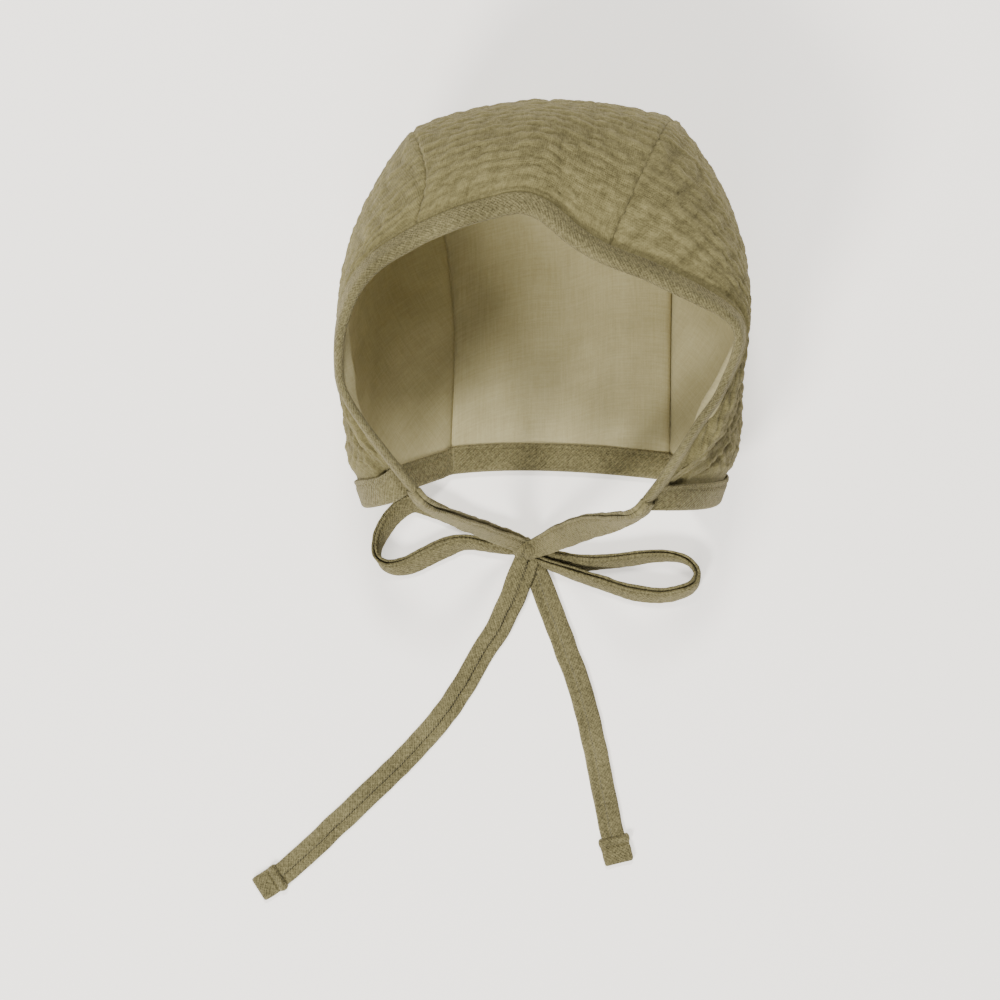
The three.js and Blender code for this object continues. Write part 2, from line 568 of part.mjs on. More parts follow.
// A folded and stitched tip, thicker at its ridge.
function tieTip({ start, end, width }) {
  const middle = [(start[0] + end[0]) / 2, (start[1] + end[1]) / 2];
  const lift = TIP_RIDGE_THICKNESS / 2 + TIP_CLEAR;
  const lowLift = TIP_THICKNESS / 2 + TIP_CLEAR;
  const route = [
    [...start, lift, 0, width], [...middle, lowLift, 0, width], [...end, lowLift, 0, width * TIP_TAPER],
  ];
  const ridge = (s) => 1 - smooth(s, TIP_RIDGE.from, TIP_RIDGE.to);
  const thickness = (s) => TIP_THICKNESS + (TIP_RIDGE_THICKNESS - TIP_THICKNESS) * ridge(s);
  return ribbon(route, STEPS.tip, thickness);
}

// The knot is a small tight wrap, flattened where it lies.
function knot() {
  const geometry = new THREE.SphereGeometry(1, KNOT_SIDES, KNOT_RINGS);
  geometry.scale(...KNOT.radii);
  geometry.translate(...KNOT.centre);
  return geometry;
}

const bonnet = new THREE.Group();
const layout = new THREE.Group();
layout.position.set(-LAYOUT_CENTRE[0], -LAYOUT_CENTRE[1], 0);
bonnet.add(layout);

function place(name, geometry, material) {
  const mesh = new THREE.Mesh(geometry, material);
  mesh.name = name;
  layout.add(mesh);
}

place("crown_panel", muslinPanel("middle", MIDDLE_ROWS), MUSLIN);
place("lining_centre", liningPanel("middle", MIDDLE_ROWS), LINING);
for (const side of ["left", "right"]) {
  place(`side_panel_${side}`, muslinPanel(side, SIDE_ROWS), MUSLIN);
  place(`lining_${side}`, liningPanel(side, SIDE_ROWS), LINING);
}
place("front_binding", frontBinding(), TAPE_CLOTH);
place("neck_band", neckBand(), TAPE_CLOTH);
place("chin_tie_left", ribbon(CHIN_TIE_LEFT, STEPS.chin), TAPE_CLOTH);
place("chin_tie_right", ribbon(CHIN_TIE_RIGHT, STEPS.chin), TAPE_CLOTH);
place("bow_knot", knot(), TAPE_CLOTH);
place("bow_loop_left", ribbon(LOOP_LEFT, STEPS.loop), TAPE_CLOTH);
place("bow_loop_right", ribbon(LOOP_RIGHT, STEPS.loop), TAPE_CLOTH);
place("tail_left", ribbon(TAIL_LEFT, STEPS.tailLeft), TAPE_CLOTH);
place("tail_right", ribbon(TAIL_RIGHT, STEPS.tailRight), TAPE_CLOTH);
place("tie_end_left", tieTip(TIP_LEFT), TAPE_CLOTH);
place("tie_end_right", tieTip(TIP_RIGHT), TAPE_CLOTH);

export default bonnet;
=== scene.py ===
# %% [markdown]
# # A baby's bonnet in crinkled double gauze
# The bonnet lies on its back with the face opening up. Three panels of crinkled cotton gauze make the
# hood, a smooth cotton lining shows inside, and folded bias tape binds the front edge and runs on into
# two ties, which are done up in a bow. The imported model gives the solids. Soft cloth needs far finer
# shapes than they have, so each piece of cloth is made again here from the same measurements, with its
# crinkles, folds and stitches, and takes the place of its plain solid.

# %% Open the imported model
import math

import bmesh
import bpy
import numpy as np
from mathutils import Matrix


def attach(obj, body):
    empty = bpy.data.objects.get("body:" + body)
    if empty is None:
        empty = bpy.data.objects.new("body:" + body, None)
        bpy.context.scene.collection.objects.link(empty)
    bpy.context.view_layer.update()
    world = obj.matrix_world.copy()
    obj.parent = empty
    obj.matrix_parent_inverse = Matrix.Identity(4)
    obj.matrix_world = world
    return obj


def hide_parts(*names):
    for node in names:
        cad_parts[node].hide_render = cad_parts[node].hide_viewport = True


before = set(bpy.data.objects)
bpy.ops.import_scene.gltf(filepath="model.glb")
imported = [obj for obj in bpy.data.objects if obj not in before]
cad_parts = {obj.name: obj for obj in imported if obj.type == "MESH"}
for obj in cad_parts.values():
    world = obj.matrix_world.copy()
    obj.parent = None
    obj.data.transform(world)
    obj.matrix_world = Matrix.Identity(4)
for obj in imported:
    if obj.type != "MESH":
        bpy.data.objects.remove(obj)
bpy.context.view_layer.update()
bpy.ops.object.select_all(action="DESELECT")
print("nodes in the frame:", len(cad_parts))

# %% [markdown]
# ## The camera
# The bonnet was seen from straight above. A camera that has not been turned looks down its own -Z axis
# with +Y up, so it only needs its place, one metre over the table. A lens of 99 mm on a 36 mm sensor
# gives 2750 pixels of focal length in a picture of 1000 pixels.

# %% Camera
MM = 0.001
LAYOUT_CENTRE = np.array([14.9, 66.0, 0.0])
CAMERA_HEIGHT = 1000.0
LENS = 99.0
SENSOR = 36.0
NEAR_CLIP = 0.05

camera_data = bpy.data.cameras.new("camera")
camera_data.lens = LENS
camera_data.sensor_width = SENSOR
camera_data.clip_start = NEAR_CLIP
camera = bpy.data.objects.new("camera", camera_data)
camera.location = (-LAYOUT_CENTRE[0] * MM, -LAYOUT_CENTRE[1] * MM, CAMERA_HEIGHT * MM)
bpy.context.scene.collection.objects.link(camera)
bpy.context.scene.camera = camera
print("camera at", tuple(round(c, 4) for c in camera.location))

# %% [markdown]
# ## Curves, noise and meshes
# Cloth is drawn as grids of points. A cubic curve through a short table of rows gives the smooth runs,
# a small noise function gives the irregular folds that no two bits of cloth share, and one function
# turns two grids, the outer and the inner face of a layer, into a closed mesh. All sizes are in
# millimetres until a mesh is made.

# %% Curves through tables
STEP = 0.01
UP = [0.0, 0.0, 1.0]


def unit(vectors):
    return vectors / np.linalg.norm(vectors, axis=-1, keepdims=True)


def smooth_step(x, start, end):
    u = np.clip((x - start) / (end - start), 0.0, 1.0)
    return u * u * (3.0 - 2.0 * u)


def bell(x, middle, width):
    return np.exp(-(((x - middle) / width) ** 2))


def curve_through(places, values, overshoots=False):
    """A cubic through values at places. Without overshoot its flat stretches stay flat."""
    places = np.asarray(places, float)
    table = np.asarray(values, float)
    columns = table.reshape(len(places), -1)
    steps = np.diff(places)[:, None]
    rises = np.diff(columns, axis=0) / steps
    slopes = np.empty_like(columns)
    slopes[0] = rises[0]
    slopes[-1] = rises[-1]
    if overshoots:
        slopes[1:-1] = (columns[2:] - columns[:-2]) / (steps[1:] + steps[:-1])
    else:
        back = rises[:-1]
        ahead = rises[1:]
        agree = back * ahead > 0
        one = 2.0 * steps[1:] + steps[:-1]
        two = steps[1:] + 2.0 * steps[:-1]
        mean = (one + two) / (one / np.where(agree, back, 1.0) + two / np.where(agree, ahead, 1.0))
        slopes[1:-1] = np.where(agree, mean, 0.0)

    def at(x):
        x = np.asarray(x, float)
        i = np.clip(np.searchsorted(places, x, side="right") - 1, 0, len(places) - 2)
        step = steps[i, 0]
        u = (x - places[i]) / step
        start_weight = (2.0 * u**3 - 3.0 * u**2 + 1.0)[..., None]
        start_slope = ((u**3 - 2.0 * u**2 + u) * step)[..., None]
        end_weight = (3.0 * u**2 - 2.0 * u**3)[..., None]
        end_slope = ((u**3 - u**2) * step)[..., None]
        result = (
            start_weight * columns[i] + start_slope * slopes[i]
            + end_weight * columns[i + 1] + end_slope * slopes[i + 1]
        )
        return result.reshape(x.shape + table.shape[1:])

    return at


def smooth_route(rows):
    """A smooth curve through rows that start x, y, z, by the share of its length."""
    table = np.asarray(rows, float)
    lengths = np.linalg.norm(np.diff(table[:, :3], axis=0), axis=1)
    along = np.concatenate([[0.0], np.cumsum(lengths)])
    return curve_through(along / along[-1], table, overshoots=True)


# %% Seeded noise
# Large primes scatter neighbouring places, as in any hash function, within 32 bits.
PRIMES = (374761393, 668265263, 974634777, 1274126177)
BITS_32 = 0xFFFFFFFF
BITS_16 = 0xFFFF


def lattice_angle(ix, iy, seed):
    mixed = (ix * PRIMES[0] + iy * PRIMES[1] + seed * PRIMES[2]) & BITS_32
    mixed = ((mixed ^ (mixed >> 13)) * PRIMES[3]) & BITS_32
    return ((mixed ^ (mixed >> 16)) & BITS_16) / (BITS_16 + 1.0) * 2.0 * math.pi


def noise(x, y, seed):
    """Smooth noise from about -0.7 to 0.7 with features one unit apart."""
    x, y = np.broadcast_arrays(np.asarray(x, float), np.asarray(y, float))
    ix = np.floor(x).astype(np.int64)
    iy = np.floor(y).astype(np.int64)
    fx = x - ix
    fy = y - iy

    def corner(dx, dy):
        angle = lattice_angle(ix + dx, iy + dy, seed)
        return np.cos(angle) * (fx - dx) + np.sin(angle) * (fy - dy)

    wx = fx * fx * fx * (fx * (fx * 6.0 - 15.0) + 10.0)
    wy = fy * fy * fy * (fy * (fy * 6.0 - 15.0) + 10.0)
    low = corner(0, 0) * (1.0 - wx) + corner(1, 0) * wx
    high = corner(0, 1) * (1.0 - wx) + corner(1, 1) * wx
    return low * (1.0 - wy) + high * wy


def ripple(wave, along, across, seed):
    """Noise as waves in cloth. A wave is its height, its length along the cloth and across it."""
    height, length, width = wave
    return height * noise(along / length, across / width, seed)


# %% Closed layers of cloth
TABLE_CLEAR = 0.02
MERGE_DISTANCE = 1e-6


def grid_faces(rows, columns, first, turned):
    i, j = np.meshgrid(np.arange(rows - 1), np.arange(columns - 1), indexing="ij")
    a = (first + i * columns + j).ravel()
    corners = [a, a + 1, a + columns + 1, a + columns]
    return np.stack(corners[::-1] if turned else corners, axis=1)


def rim_faces(ring, offset):
    ahead = np.roll(ring, -1)
    return np.stack([ahead, ring, ring + offset, ahead + offset], axis=1)


def finished(name, mesh, material):
    """Merge the doubles, turn the faces out and make the mesh a piece with its material."""
    tidy = bmesh.new()
    tidy.from_mesh(mesh)
    bmesh.ops.remove_doubles(tidy, verts=tidy.verts, dist=MERGE_DISTANCE)
    bmesh.ops.recalc_face_normals(tidy, faces=tidy.faces)
    tidy.to_mesh(mesh)
    tidy.free()
    mesh.shade_smooth()
    mesh.materials.append(material)
    piece = bpy.data.objects.new(name, mesh)
    bpy.context.scene.collection.objects.link(piece)
    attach(piece, "root")
    print(name, "has", len(mesh.polygons), "faces")
    return piece


def cloth_layer(name, outer, inner, cloth_places, material, heights=None):
    """A closed mesh between two grids of points, with its places on the flat cloth as UV."""
    rows, columns = outer.shape[:2]
    count = rows * columns
    points = (np.concatenate([outer.reshape(-1, 3), inner.reshape(-1, 3)]) - LAYOUT_CENTRE) * MM
    points[:, 2] = np.maximum(points[:, 2], TABLE_CLEAR * MM)
    index = np.arange(count).reshape(rows, columns)
    ring = np.concatenate([index[0, :-1], index[:-1, -1], index[-1, :0:-1], index[:0:-1, 0]])
    faces = np.concatenate([
        grid_faces(rows, columns, 0, False),
        grid_faces(rows, columns, count, True),
        rim_faces(ring, count),
    ])
    mesh = bpy.data.meshes.new(name)
    mesh.from_pydata(points.tolist(), [], faces.tolist())
    on_cloth = np.tile(cloth_places.reshape(-1, 2) * MM, (2, 1))
    loops = np.empty(len(mesh.loops), dtype=np.int32)
    mesh.loops.foreach_get("vertex_index", loops)
    mesh.uv_layers.new(name="cloth").data.foreach_set("uv", on_cloth[loops].ravel())
    if heights is not None:
        layer = mesh.attributes.new("height", "FLOAT", "POINT")
        layer.data.foreach_set("value", np.tile(heights.ravel(), 2))
    return finished(name, mesh, material)


# %% [markdown]
# ## Finishes
# Three cotton cloths and a thread. A material here starts from its colour and a high roughness, since
# cotton is matt, and a little sheen stands for the fine hairs that catch light at the edges. The weave
# is a pattern on the flat cloth, in metres, so it follows every fold.

# %% Material helpers
def srgb(code):
    """A hex colour as the linear numbers that a shader wants."""
    parts = [int(code[i : i + 2], 16) / 255.0 for i in (1, 3, 5)]
    linear = [c / 12.92 if c <= 0.04045 else ((c + 0.055) / 1.055) ** 2.4 for c in parts]
    return (*linear, 1.0)


def add_node(tree, kind, settings=None, inputs=None):
    """Add a node, set its properties, and fill or link its input sockets."""
    node = tree.nodes.new(kind)
    for key, value in (settings or {}).items():
        setattr(node, key, value)
    for key, value in (inputs or {}).items():
        if isinstance(value, bpy.types.NodeSocket):
            tree.links.new(value, node.inputs[key])
        else:
            node.inputs[key].default_value = value
    return node


def bands(spacing):
    """The scale of a wave texture whose bands are this many millimetres apart."""
    return 0.1 * math.pi / (spacing * MM)


def combined(tree, operation, first, second):
    """Two values put together by one maths node."""
    node = add_node(tree, "ShaderNodeMath", {"operation": operation}, {0: first, 1: second})
    return node.outputs["Value"]


def flat_noise(tree, vector, scale, detail, roughness=0.5):
    """A noise pattern on the flat cloth."""
    node = add_node(tree, "ShaderNodeTexNoise", {"noise_dimensions": "2D"}, {
        "Vector": vector, "Scale": scale, "Detail": detail, "Roughness": roughness,
    })
    return node.outputs["Fac"]


def add_relief(tree, shader, height, strength, distance):
    bump = add_node(tree, "ShaderNodeBump", inputs={
        "Height": height, "Strength": strength, "Distance": distance,
    })
    tree.links.new(bump.outputs["Normal"], shader.inputs["Normal"])


def new_finish(name, roughness, sheen):
    material = bpy.data.materials.new(name)
    material.use_nodes = True
    tree = material.node_tree
    tree.nodes.clear()
    shader = add_node(tree, "ShaderNodeBsdfPrincipled", inputs={
        "Roughness": roughness, "Sheen Weight": sheen, "Sheen Roughness": 0.5,
        "Specular IOR Level": 0.25, "IOR": 1.5,
    })
    shader.inputs["Sheen Tint"].default_value = srgb("#e6dcb8")
    output = add_node(tree, "ShaderNodeOutputMaterial", inputs={"Surface": shader.outputs["BSDF"]})
    output.location = (300, 0)
    return material, tree, shader


# %% [markdown]
# ### Woven cotton
# All three cloths are plain weave, which is thread over and under thread. Real threads are about
# 0.3 mm apart, too fine for a picture of this size, so they are drawn 0.6 to 0.9 mm apart. The threads
# of soft cotton vary in thickness, and the thin streaks that this gives show more than the weave
# itself, so each cloth gets both. The lining is plainest. The tape is cut on the bias, so its threads
# run at 45 degrees to its edges, and one way of them shows most, like the lines of a fine twill.
# The gauze also gets painted shade in its creases and a painted highlight on its ridges, from the height
# of its folds.

# %% Woven cotton
# Scales of the patterns, per metre of cloth: a streak is long one way and thin the other.
STREAK_LONG = 70.0
STREAK_THIN = 1500.0
PATCHES = 45.0
GRAIN = 850.0


def woven_cotton(name, colours, look, roughness=0.9, sheen=0.2):
    """Cotton cloth. The look holds the thread spacing in mm, the turn of the weave and how much shows."""
    material, tree, shader = new_finish(name, roughness, sheen)
    on_cloth = add_node(tree, "ShaderNodeUVMap", {"uv_map": "cloth"}).outputs["UV"]
    turned = add_node(tree, "ShaderNodeMapping", inputs={
        "Vector": on_cloth, "Rotation": (0.0, 0.0, math.radians(look["turn"])),
    }).outputs["Vector"]
    threads = []
    streaks = []
    for direction, stretch in (
        ("X", (STREAK_LONG, STREAK_THIN, 1.0)), ("Y", (STREAK_THIN, STREAK_LONG, 1.0)),
    ):
        wave = add_node(tree, "ShaderNodeTexWave", {"bands_direction": direction}, {
            "Vector": turned, "Scale": bands(look["spacing"]), "Distortion": 3.0,
            "Detail": 2.0, "Detail Scale": 1.6,
        })
        threads.append(wave.outputs["Fac"])
        stretched = add_node(tree, "ShaderNodeMapping", inputs={"Vector": turned, "Scale": stretch})
        streaks.append(flat_noise(tree, stretched.outputs["Vector"], 1.0, 2.0, 0.6))
    second = combined(tree, "MULTIPLY", threads[1], look["second_way"])
    weave = combined(tree, "MAXIMUM", threads[0], second)
    slub = combined(tree, "ADD", *streaks)
    height = add_node(tree, "ShaderNodeAttribute", {"attribute_name": "height"})
    tones = [
        # what varies, its range, and how far it moves the colour
        (slub, 0.7, 1.3, look["streaks"]),
        (weave, 0.0, 1.0, look["weave"]),
        (flat_noise(tree, on_cloth, PATCHES, 3.0), 0.3, 0.7, look["patches"]),
        (flat_noise(tree, on_cloth, GRAIN, 2.0, 0.7), 0.3, 0.7, look["grain"]),
        # painted shade and highlight: the height of the gauze folds darkens the creases and lightens the
        # ridges
        (height.outputs["Fac"], -0.5, 0.35, look["ridges"]),
    ]
    value = 0.5
    for source, low, high, share in tones:
        moved = add_node(tree, "ShaderNodeMapRange", inputs={
            "Value": source, "From Min": low, "From Max": high, "To Min": -share, "To Max": share,
        })
        value = combined(tree, "ADD", value, moved.outputs["Result"])
    ramp = add_node(tree, "ShaderNodeValToRGB", inputs={"Fac": value})
    ramp.color_ramp.elements[0].color = srgb(colours[0])
    ramp.color_ramp.elements[1].color = srgb(colours[1])
    tree.links.new(ramp.outputs["Color"], shader.inputs["Base Color"])
    add_relief(tree, shader, combined(tree, "ADD", weave, slub), look["relief"], 0.0003)
    return material


# Crinkled double gauze: matt olive, with a painted highlight on its ridges and painted shade in its
# creases.
GAUZE = woven_cotton("crinkled_double_gauze", ("#3b351b", "#8b8359"), {
    "spacing": 0.75, "turn": 0.0, "second_way": 0.9, "streaks": 0.04, "weave": 0.03, "grain": 0.16,
    # ridges sets how much painted shade falls in the creases and how much painted highlight on the ridges
    "patches": 0.04, "ridges": 0.17, "relief": 0.5,
})
# Smooth plain-weave cotton: paler and flat, with thin thread streaks both ways.
LINING = woven_cotton("plain_weave_lining", ("#887f57", "#beb58d"), {
    "spacing": 0.6, "turn": 0.0, "second_way": 1.0, "streaks": 0.1, "weave": 0.03, "grain": 0.05,
    "patches": 0.08, "ridges": 0.0, "relief": 0.15,
}, sheen=0.1)
# Bias tape: darker than the lining, pressed flat, with fine diagonal lines.
TAPE = woven_cotton("bias_cut_cotton_tape", ("#3b361d", "#89815b"), {
    "spacing": 0.9, "turn": 45.0, "second_way": 0.6, "streaks": 0.05, "weave": 0.13, "grain": 0.24,
    "patches": 0.14, "ridges": 0.0, "relief": 0.9,
})


# Sewing thread: twisted cotton in the tape's colour, a little darker.
def sewing_thread():
    material, tree, shader = new_finish("cotton_sewing_thread", 0.7, 0.1)
    shader.inputs["Base Color"].default_value = srgb("#5d5636")
    place = add_node(tree, "ShaderNodeTexCoord")
    twist = add_node(tree, "ShaderNodeTexNoise", inputs={
        "Vector": place.outputs["Object"], "Scale": 3000.0, "Detail": 1.0,
    })
    add_relief(tree, shader, twist.outputs["Fac"], 0.4, 0.0001)
    return material


THREAD = sewing_thread()
print("finishes:", GAUZE.name, LINING.name, TAPE.name, THREAD.name)

# %% [markdown]
# ## The ties and the bow
# Each tie is bias tape folded in half and stitched along its open edges. A tie could be a curve with a
# bevel, but then its two leaves, the slit between them and the stitch groove would be lost, so it is a
# grid: a section of the folded tape, swept along the route. The routes are short tables, with a row for
# each bend: x, y, z, then the lean of the tape about its run in degrees, and its width. The ties come
# first because they decide how far the model spreads.

# %% Routes of the ties
TIE_WIDTH = 8.4
LYING_HEIGHT = 1.1
CHIN_TIE_LEFT = [
    [-29.2, 3.6, 82.0, 78, 7.4], [-27.4, 1.2, 80.8, 77, 7.6], [-25.0, -1.2, 76.2, 73, 7.8],
    [-21.8, -3.4, 69, 66, 8.0], [-14.6, -6.9, 54, 58, 8.4], [-7.7, -9.8, 36, 52, 8.4],
    [-1.1, -12.7, 20, 44, 8.0],
    [6.7, -15.9, 8.8, 24, 6.4], [10.0, -17.4, 6.6, 10, 5.4],
]
CHIN_TIE_RIGHT = [
    [49.4, -0.4, 81.8, -72, 7.2], [47.6, -2.9, 80.8, -71, 7.4], [45.0, -5.0, 76.6, -66, 7.6],
    [41.6, -6.4, 70, -55, 8.0], [35.4, -8.2, 54, -30, 8.6], [28.0, -10.4, 36, -12, 9.2],
    [21.4, -13.4, 21, -6, 9.0], [14.4, -16.8, 9.1, 0, 7.4], [10.8, -18.4, 7.0, 0, 6.4],
]
LOOP_LEFT = [
    [9.0, -18.4, 4.6, -60, 4.8], [5.0, -18.1, 4.6, -60, 5.4], [-5.8, -16.4, 4.6, -56, 6.6],
    [-13.7, -15.6, 4.4, -50, 7.6], [-19.5, -17.4, 4.3, -40, 8.4], [-26.8, -21.0, 4.3, -38, 8.4],
    [-34.4, -24.1, 4.3, -46, 8.4], [-40.8, -24.0, 4.4, -66, 8.4], [-44.2, -20.4, 4.5, -92, 8.4],
    [-43.8, -14.8, 4.5, -114, 8.4], [-40.2, -8.2, 4.5, -128, 8.4], [-35.9, -3.4, 4.4, -136, 8.4],
    [-31.2, -1.2, 4.3, -138, 8.4], [-26.4, -2.4, 4.3, -134, 8.2], [-19.0, -5.9, 4.2, -126, 7.6],
    [-9.0, -10.4, 4.2, -120, 6.6], [5.6, -14.0, 4.4, -120, 5.2], [9.0, -15.6, 4.6, -120, 4.8],
]
LOOP_RIGHT = [
    [11.4, -18.8, 4.4, -116, 5.4], [15.5, -20.2, 4.2, -126, 6.8], [28.9, -22.9, 4.2, -128, 8.0],
    [40.6, -22.4, 4.4, -120, 8.4], [50.7, -21.0, 4.4, -118, 8.4], [59.7, -20.3, 4.4, -110, 8.4],
    [67.3, -21.9, 4.5, -100, 8.4], [71.3, -26.0, 4.5, -86, 8.4], [70.4, -30.6, 4.5, -72, 8.4],
    [65.2, -33.7, 4.4, -62, 8.4], [56.1, -34.8, 4.4, -58, 8.4], [46.3, -33.3, 4.4, -60, 8.4],
    [36.2, -29.9, 4.3, -62, 8.2], [26.1, -26.6, 4.2, -64, 7.8], [17.0, -23.1, 4.8, -70, 6.4],
    [11.2, -19.8, 4.8, -92, 5.0],
]


def lying(places):
    """Rows of a tie that lies flat on the table, at its full width."""
    return [[x, y, LYING_HEIGHT, 0, TIE_WIDTH] for x, y in places]


TAIL_LEFT = [
    [10.6, -17.8, 5.6, 0, 7.6], [9.2, -22.3, 4.8, 0, 8.8], [7.2, -27.9, 4.1, 0, 9.4],
    [4.7, -34.5, 3.6, 0, 9.2], [0.0, -44.7, 2.2, 0, 8.8],
    *lying([
        [-6.2, -55.2], [-12.3, -65.7], [-19.6, -76.6], [-27.6, -86.4], [-36.7, -95.9],
        [-47.2, -106.4], [-58.5, -117.0], [-69.0, -126.8], [-80.4, -136.9],
    ]),
]
TAIL_RIGHT = [
    [11.6, -20.0, 3.2, 0, 5.6], [13.7, -26.4, 2.2, 0, 7.4], [15.3, -30.8, 1.5, 0, 8.2],
    *lying([
        [17.4, -36.7], [20.3, -44.3], [24.3, -54.8], [28.3, -66.1], [30.9, -74.5], [33.1, -82.8],
        [35.2, -92.6], [37.0, -102.4], [38.9, -111.9], [41.5, -124.2],
    ]),
]

# %% [markdown]
# ### The section of a folded tie
# One edge is the fold and the other holds the two cut edges, turned in and stitched a little way from
# the side: 1.3 mm on most strips, and 2.6 to 2.8 mm on the two tails. The table goes over the upper
# leaf from the fold to the slit: a share of the width plus some millimetres, and the height as a share
# of half the thickness. The lower leaf mirrors it.

# %% Folded section
TIE_THICKNESS = 2.3
SPACING = 0.6
LENGTH_STEPS = 400
LEAF = [
    # share of the width, mm, whether it stands beside the stitches, height
    [0.0, 0.0, 0, 0.0], [0.0, 0.06, 0, 0.3], [0.0, 0.25, 0, 0.58], [0.0, 0.6, 0, 0.8],
    [0.0, 1.2, 0, 0.95], [0.25, 0.3, 0, 1.05], [0.5, -0.3, 0, 1.1], [0.65, -0.5, 0, 1.06],
    [1.0, -1.0, 1, 0.97], [1.0, -0.45, 1, 0.8], [1.0, 0.0, 1, 0.42], [1.0, 0.45, 1, 0.8],
    [1.0, -0.45, 0, 0.92], [1.0, -0.12, 0, 0.8], [1.0, 0.0, 0, 0.5], [1.0, -0.15, 0, 0.16],
    [1.0, -1.0, 0, 0.08], [1.0, -1.9, 0, 0.05],
]
# Rows of the table: where the open edge begins, the stitch groove, and where the slit begins.
EDGE_ROW, STITCH_ROW, SLIT_ROW = 8, 10, 15


def tie_frame(route, shares):
    """Where a tie is at some shares of its length, and which way it runs, spreads and faces."""
    along = smooth_route(route)
    rows = along(shares)
    ahead = along(np.minimum(shares + STEP, 1.0))[:, :3]
    behind = along(np.maximum(shares - STEP, 0.0))[:, :3]
    run = unit(ahead - behind)
    left = unit(np.cross(UP, run))
    up = np.cross(run, left)
    lean = np.radians(rows[:, 3])[:, None]
    wide = left * np.cos(lean) + up * np.sin(lean)
    return rows[:, :3], wide, np.cross(run, wide), rows[:, 4]


def route_length(route):
    points = smooth_route(route)(np.linspace(0.0, 1.0, LENGTH_STEPS))[:, :3]
    return float(np.linalg.norm(np.diff(points, axis=0), axis=1).sum())


# %% [markdown]
# ### Sweeping a tie
# A strip of cloth is never quite flat. Small puckers and longer puffs run over its leaves, and the
# whole strip wanders up, down and sideways. The two chin ties start thick, because the tape has just
# left the front edge, where it holds the cloth, and there the slit is sewn shut.

# %% A folded tie
PUCKER = (0.22, 2.6, 3.0)
PUFF = (0.3, 8.0, 9.0)
SWAY = (0.3, 8.0, 7.0)
EDGE_SWAY = (0.4, 7.0, 1.0)
GAPE_WAVE = (0.7, 10.0, 1.0)
# The one line across the tie on which the last two are read, so that they only change along it.
SWAY_LINE = 0.5
GAPE_LINE = 0.3
BODY_HEIGHTS = (0.2, 0.8)
OPENING = (-0.3, 0.5)
GAPE_SHARES = [0.0, 0.15, 0.85, 1.0]
SWELL_EASE = (3.0, 22.0)
SEWN_EASE = (5.0, 18.0)
SLIT_CLOSING = 0.9
GROOVE_FILLING = 0.45
LOWER_LEAF_OUT = 0.25
SEWN_LENGTH = 14.0
ROWS_BEFORE_STITCHES = 2
ROWS_AFTER_STITCHES = 4
PATH_POINTS = 40


def folded_tie(name, route, open_side, seed, gape, inset, swell):
    """A folded tie along its route. open_side is 1 where its cut edges are on the left, and gape is
    how far each leaf stands out there, at the start, the middle and the end of the tie. The stitches
    are inset from the cut edges, and swell thickens the start."""
    size = route_length(route)
    shares = np.linspace(0.0, 1.0, int(size / SPACING))
    centre, wide, thick, width = tie_frame(route, shares)
    share, extra, beside, height = np.array(LEAF).T
    row = np.arange(len(LEAF))
    across = share * width[:, None] + extra - beside * inset - width[:, None] / 2.0
    place = (shares * size)[:, None]
    half = (TIE_THICKNESS + swell * (1.0 - smooth_step(place, *SWELL_EASE))) / 2.0
    puffs = ripple(PUCKER, place, across, seed) + ripple(PUFF, place, across, seed + 3)
    puffs = puffs * smooth_step(height, *BODY_HEIGHTS)
    sway = ripple(SWAY, place, across, seed + 1)
    edge_sway = ripple(EDGE_SWAY, place, SWAY_LINE, seed + 2)
    sewn_shut = (1.0 - smooth_step(place, *SEWN_EASE)) * (swell > 0.0)
    height = height * (1.0 - SLIT_CLOSING * sewn_shut * (row >= SLIT_ROW))
    height = height + GROOVE_FILLING * sewn_shut * (row == STITCH_ROW)
    opened = np.interp(shares, GAPE_SHARES, [gape[0], gape[1], gape[1], gape[2]])[:, None]
    opened = opened * smooth_step(across / width[:, None], *OPENING)
    opened = opened * (1.0 + ripple(GAPE_WAVE, place, GAPE_LINE, seed + 4))
    leaves = []
    for side, further in ((1.0, 0.0), (-1.0, LOWER_LEAF_OUT)):
        lift = side * (height * half + puffs + opened) + sway
        spread = open_side * (across + edge_sway + further * (row >= EDGE_ROW))
        leaves.append(
            centre[:, None] + wide[:, None] * spread[..., None] + thick[:, None] * lift[..., None]
        )
    on_cloth = np.stack([np.broadcast_to(place, across.shape), across], axis=-1)
    piece = cloth_layer(name, *leaves, on_cloth, TAPE)
    path = [tuple((p - LAYOUT_CENTRE) * MM) for p in centre[:: max(1, len(centre) // PATH_POINTS)]]
    first = int(SEWN_LENGTH / SPACING) if swell > 0.0 else ROWS_BEFORE_STITCHES
    sewn = slice(first, -ROWS_AFTER_STITCHES)
    stitch_lines = [
        (leaf[sewn, STITCH_ROW], thick[sewn] * way) for leaf, way in zip(leaves, (1.0, -1.0))
    ]
    return {"piece": piece, "path": path, "length": size, "stitches": stitch_lines}


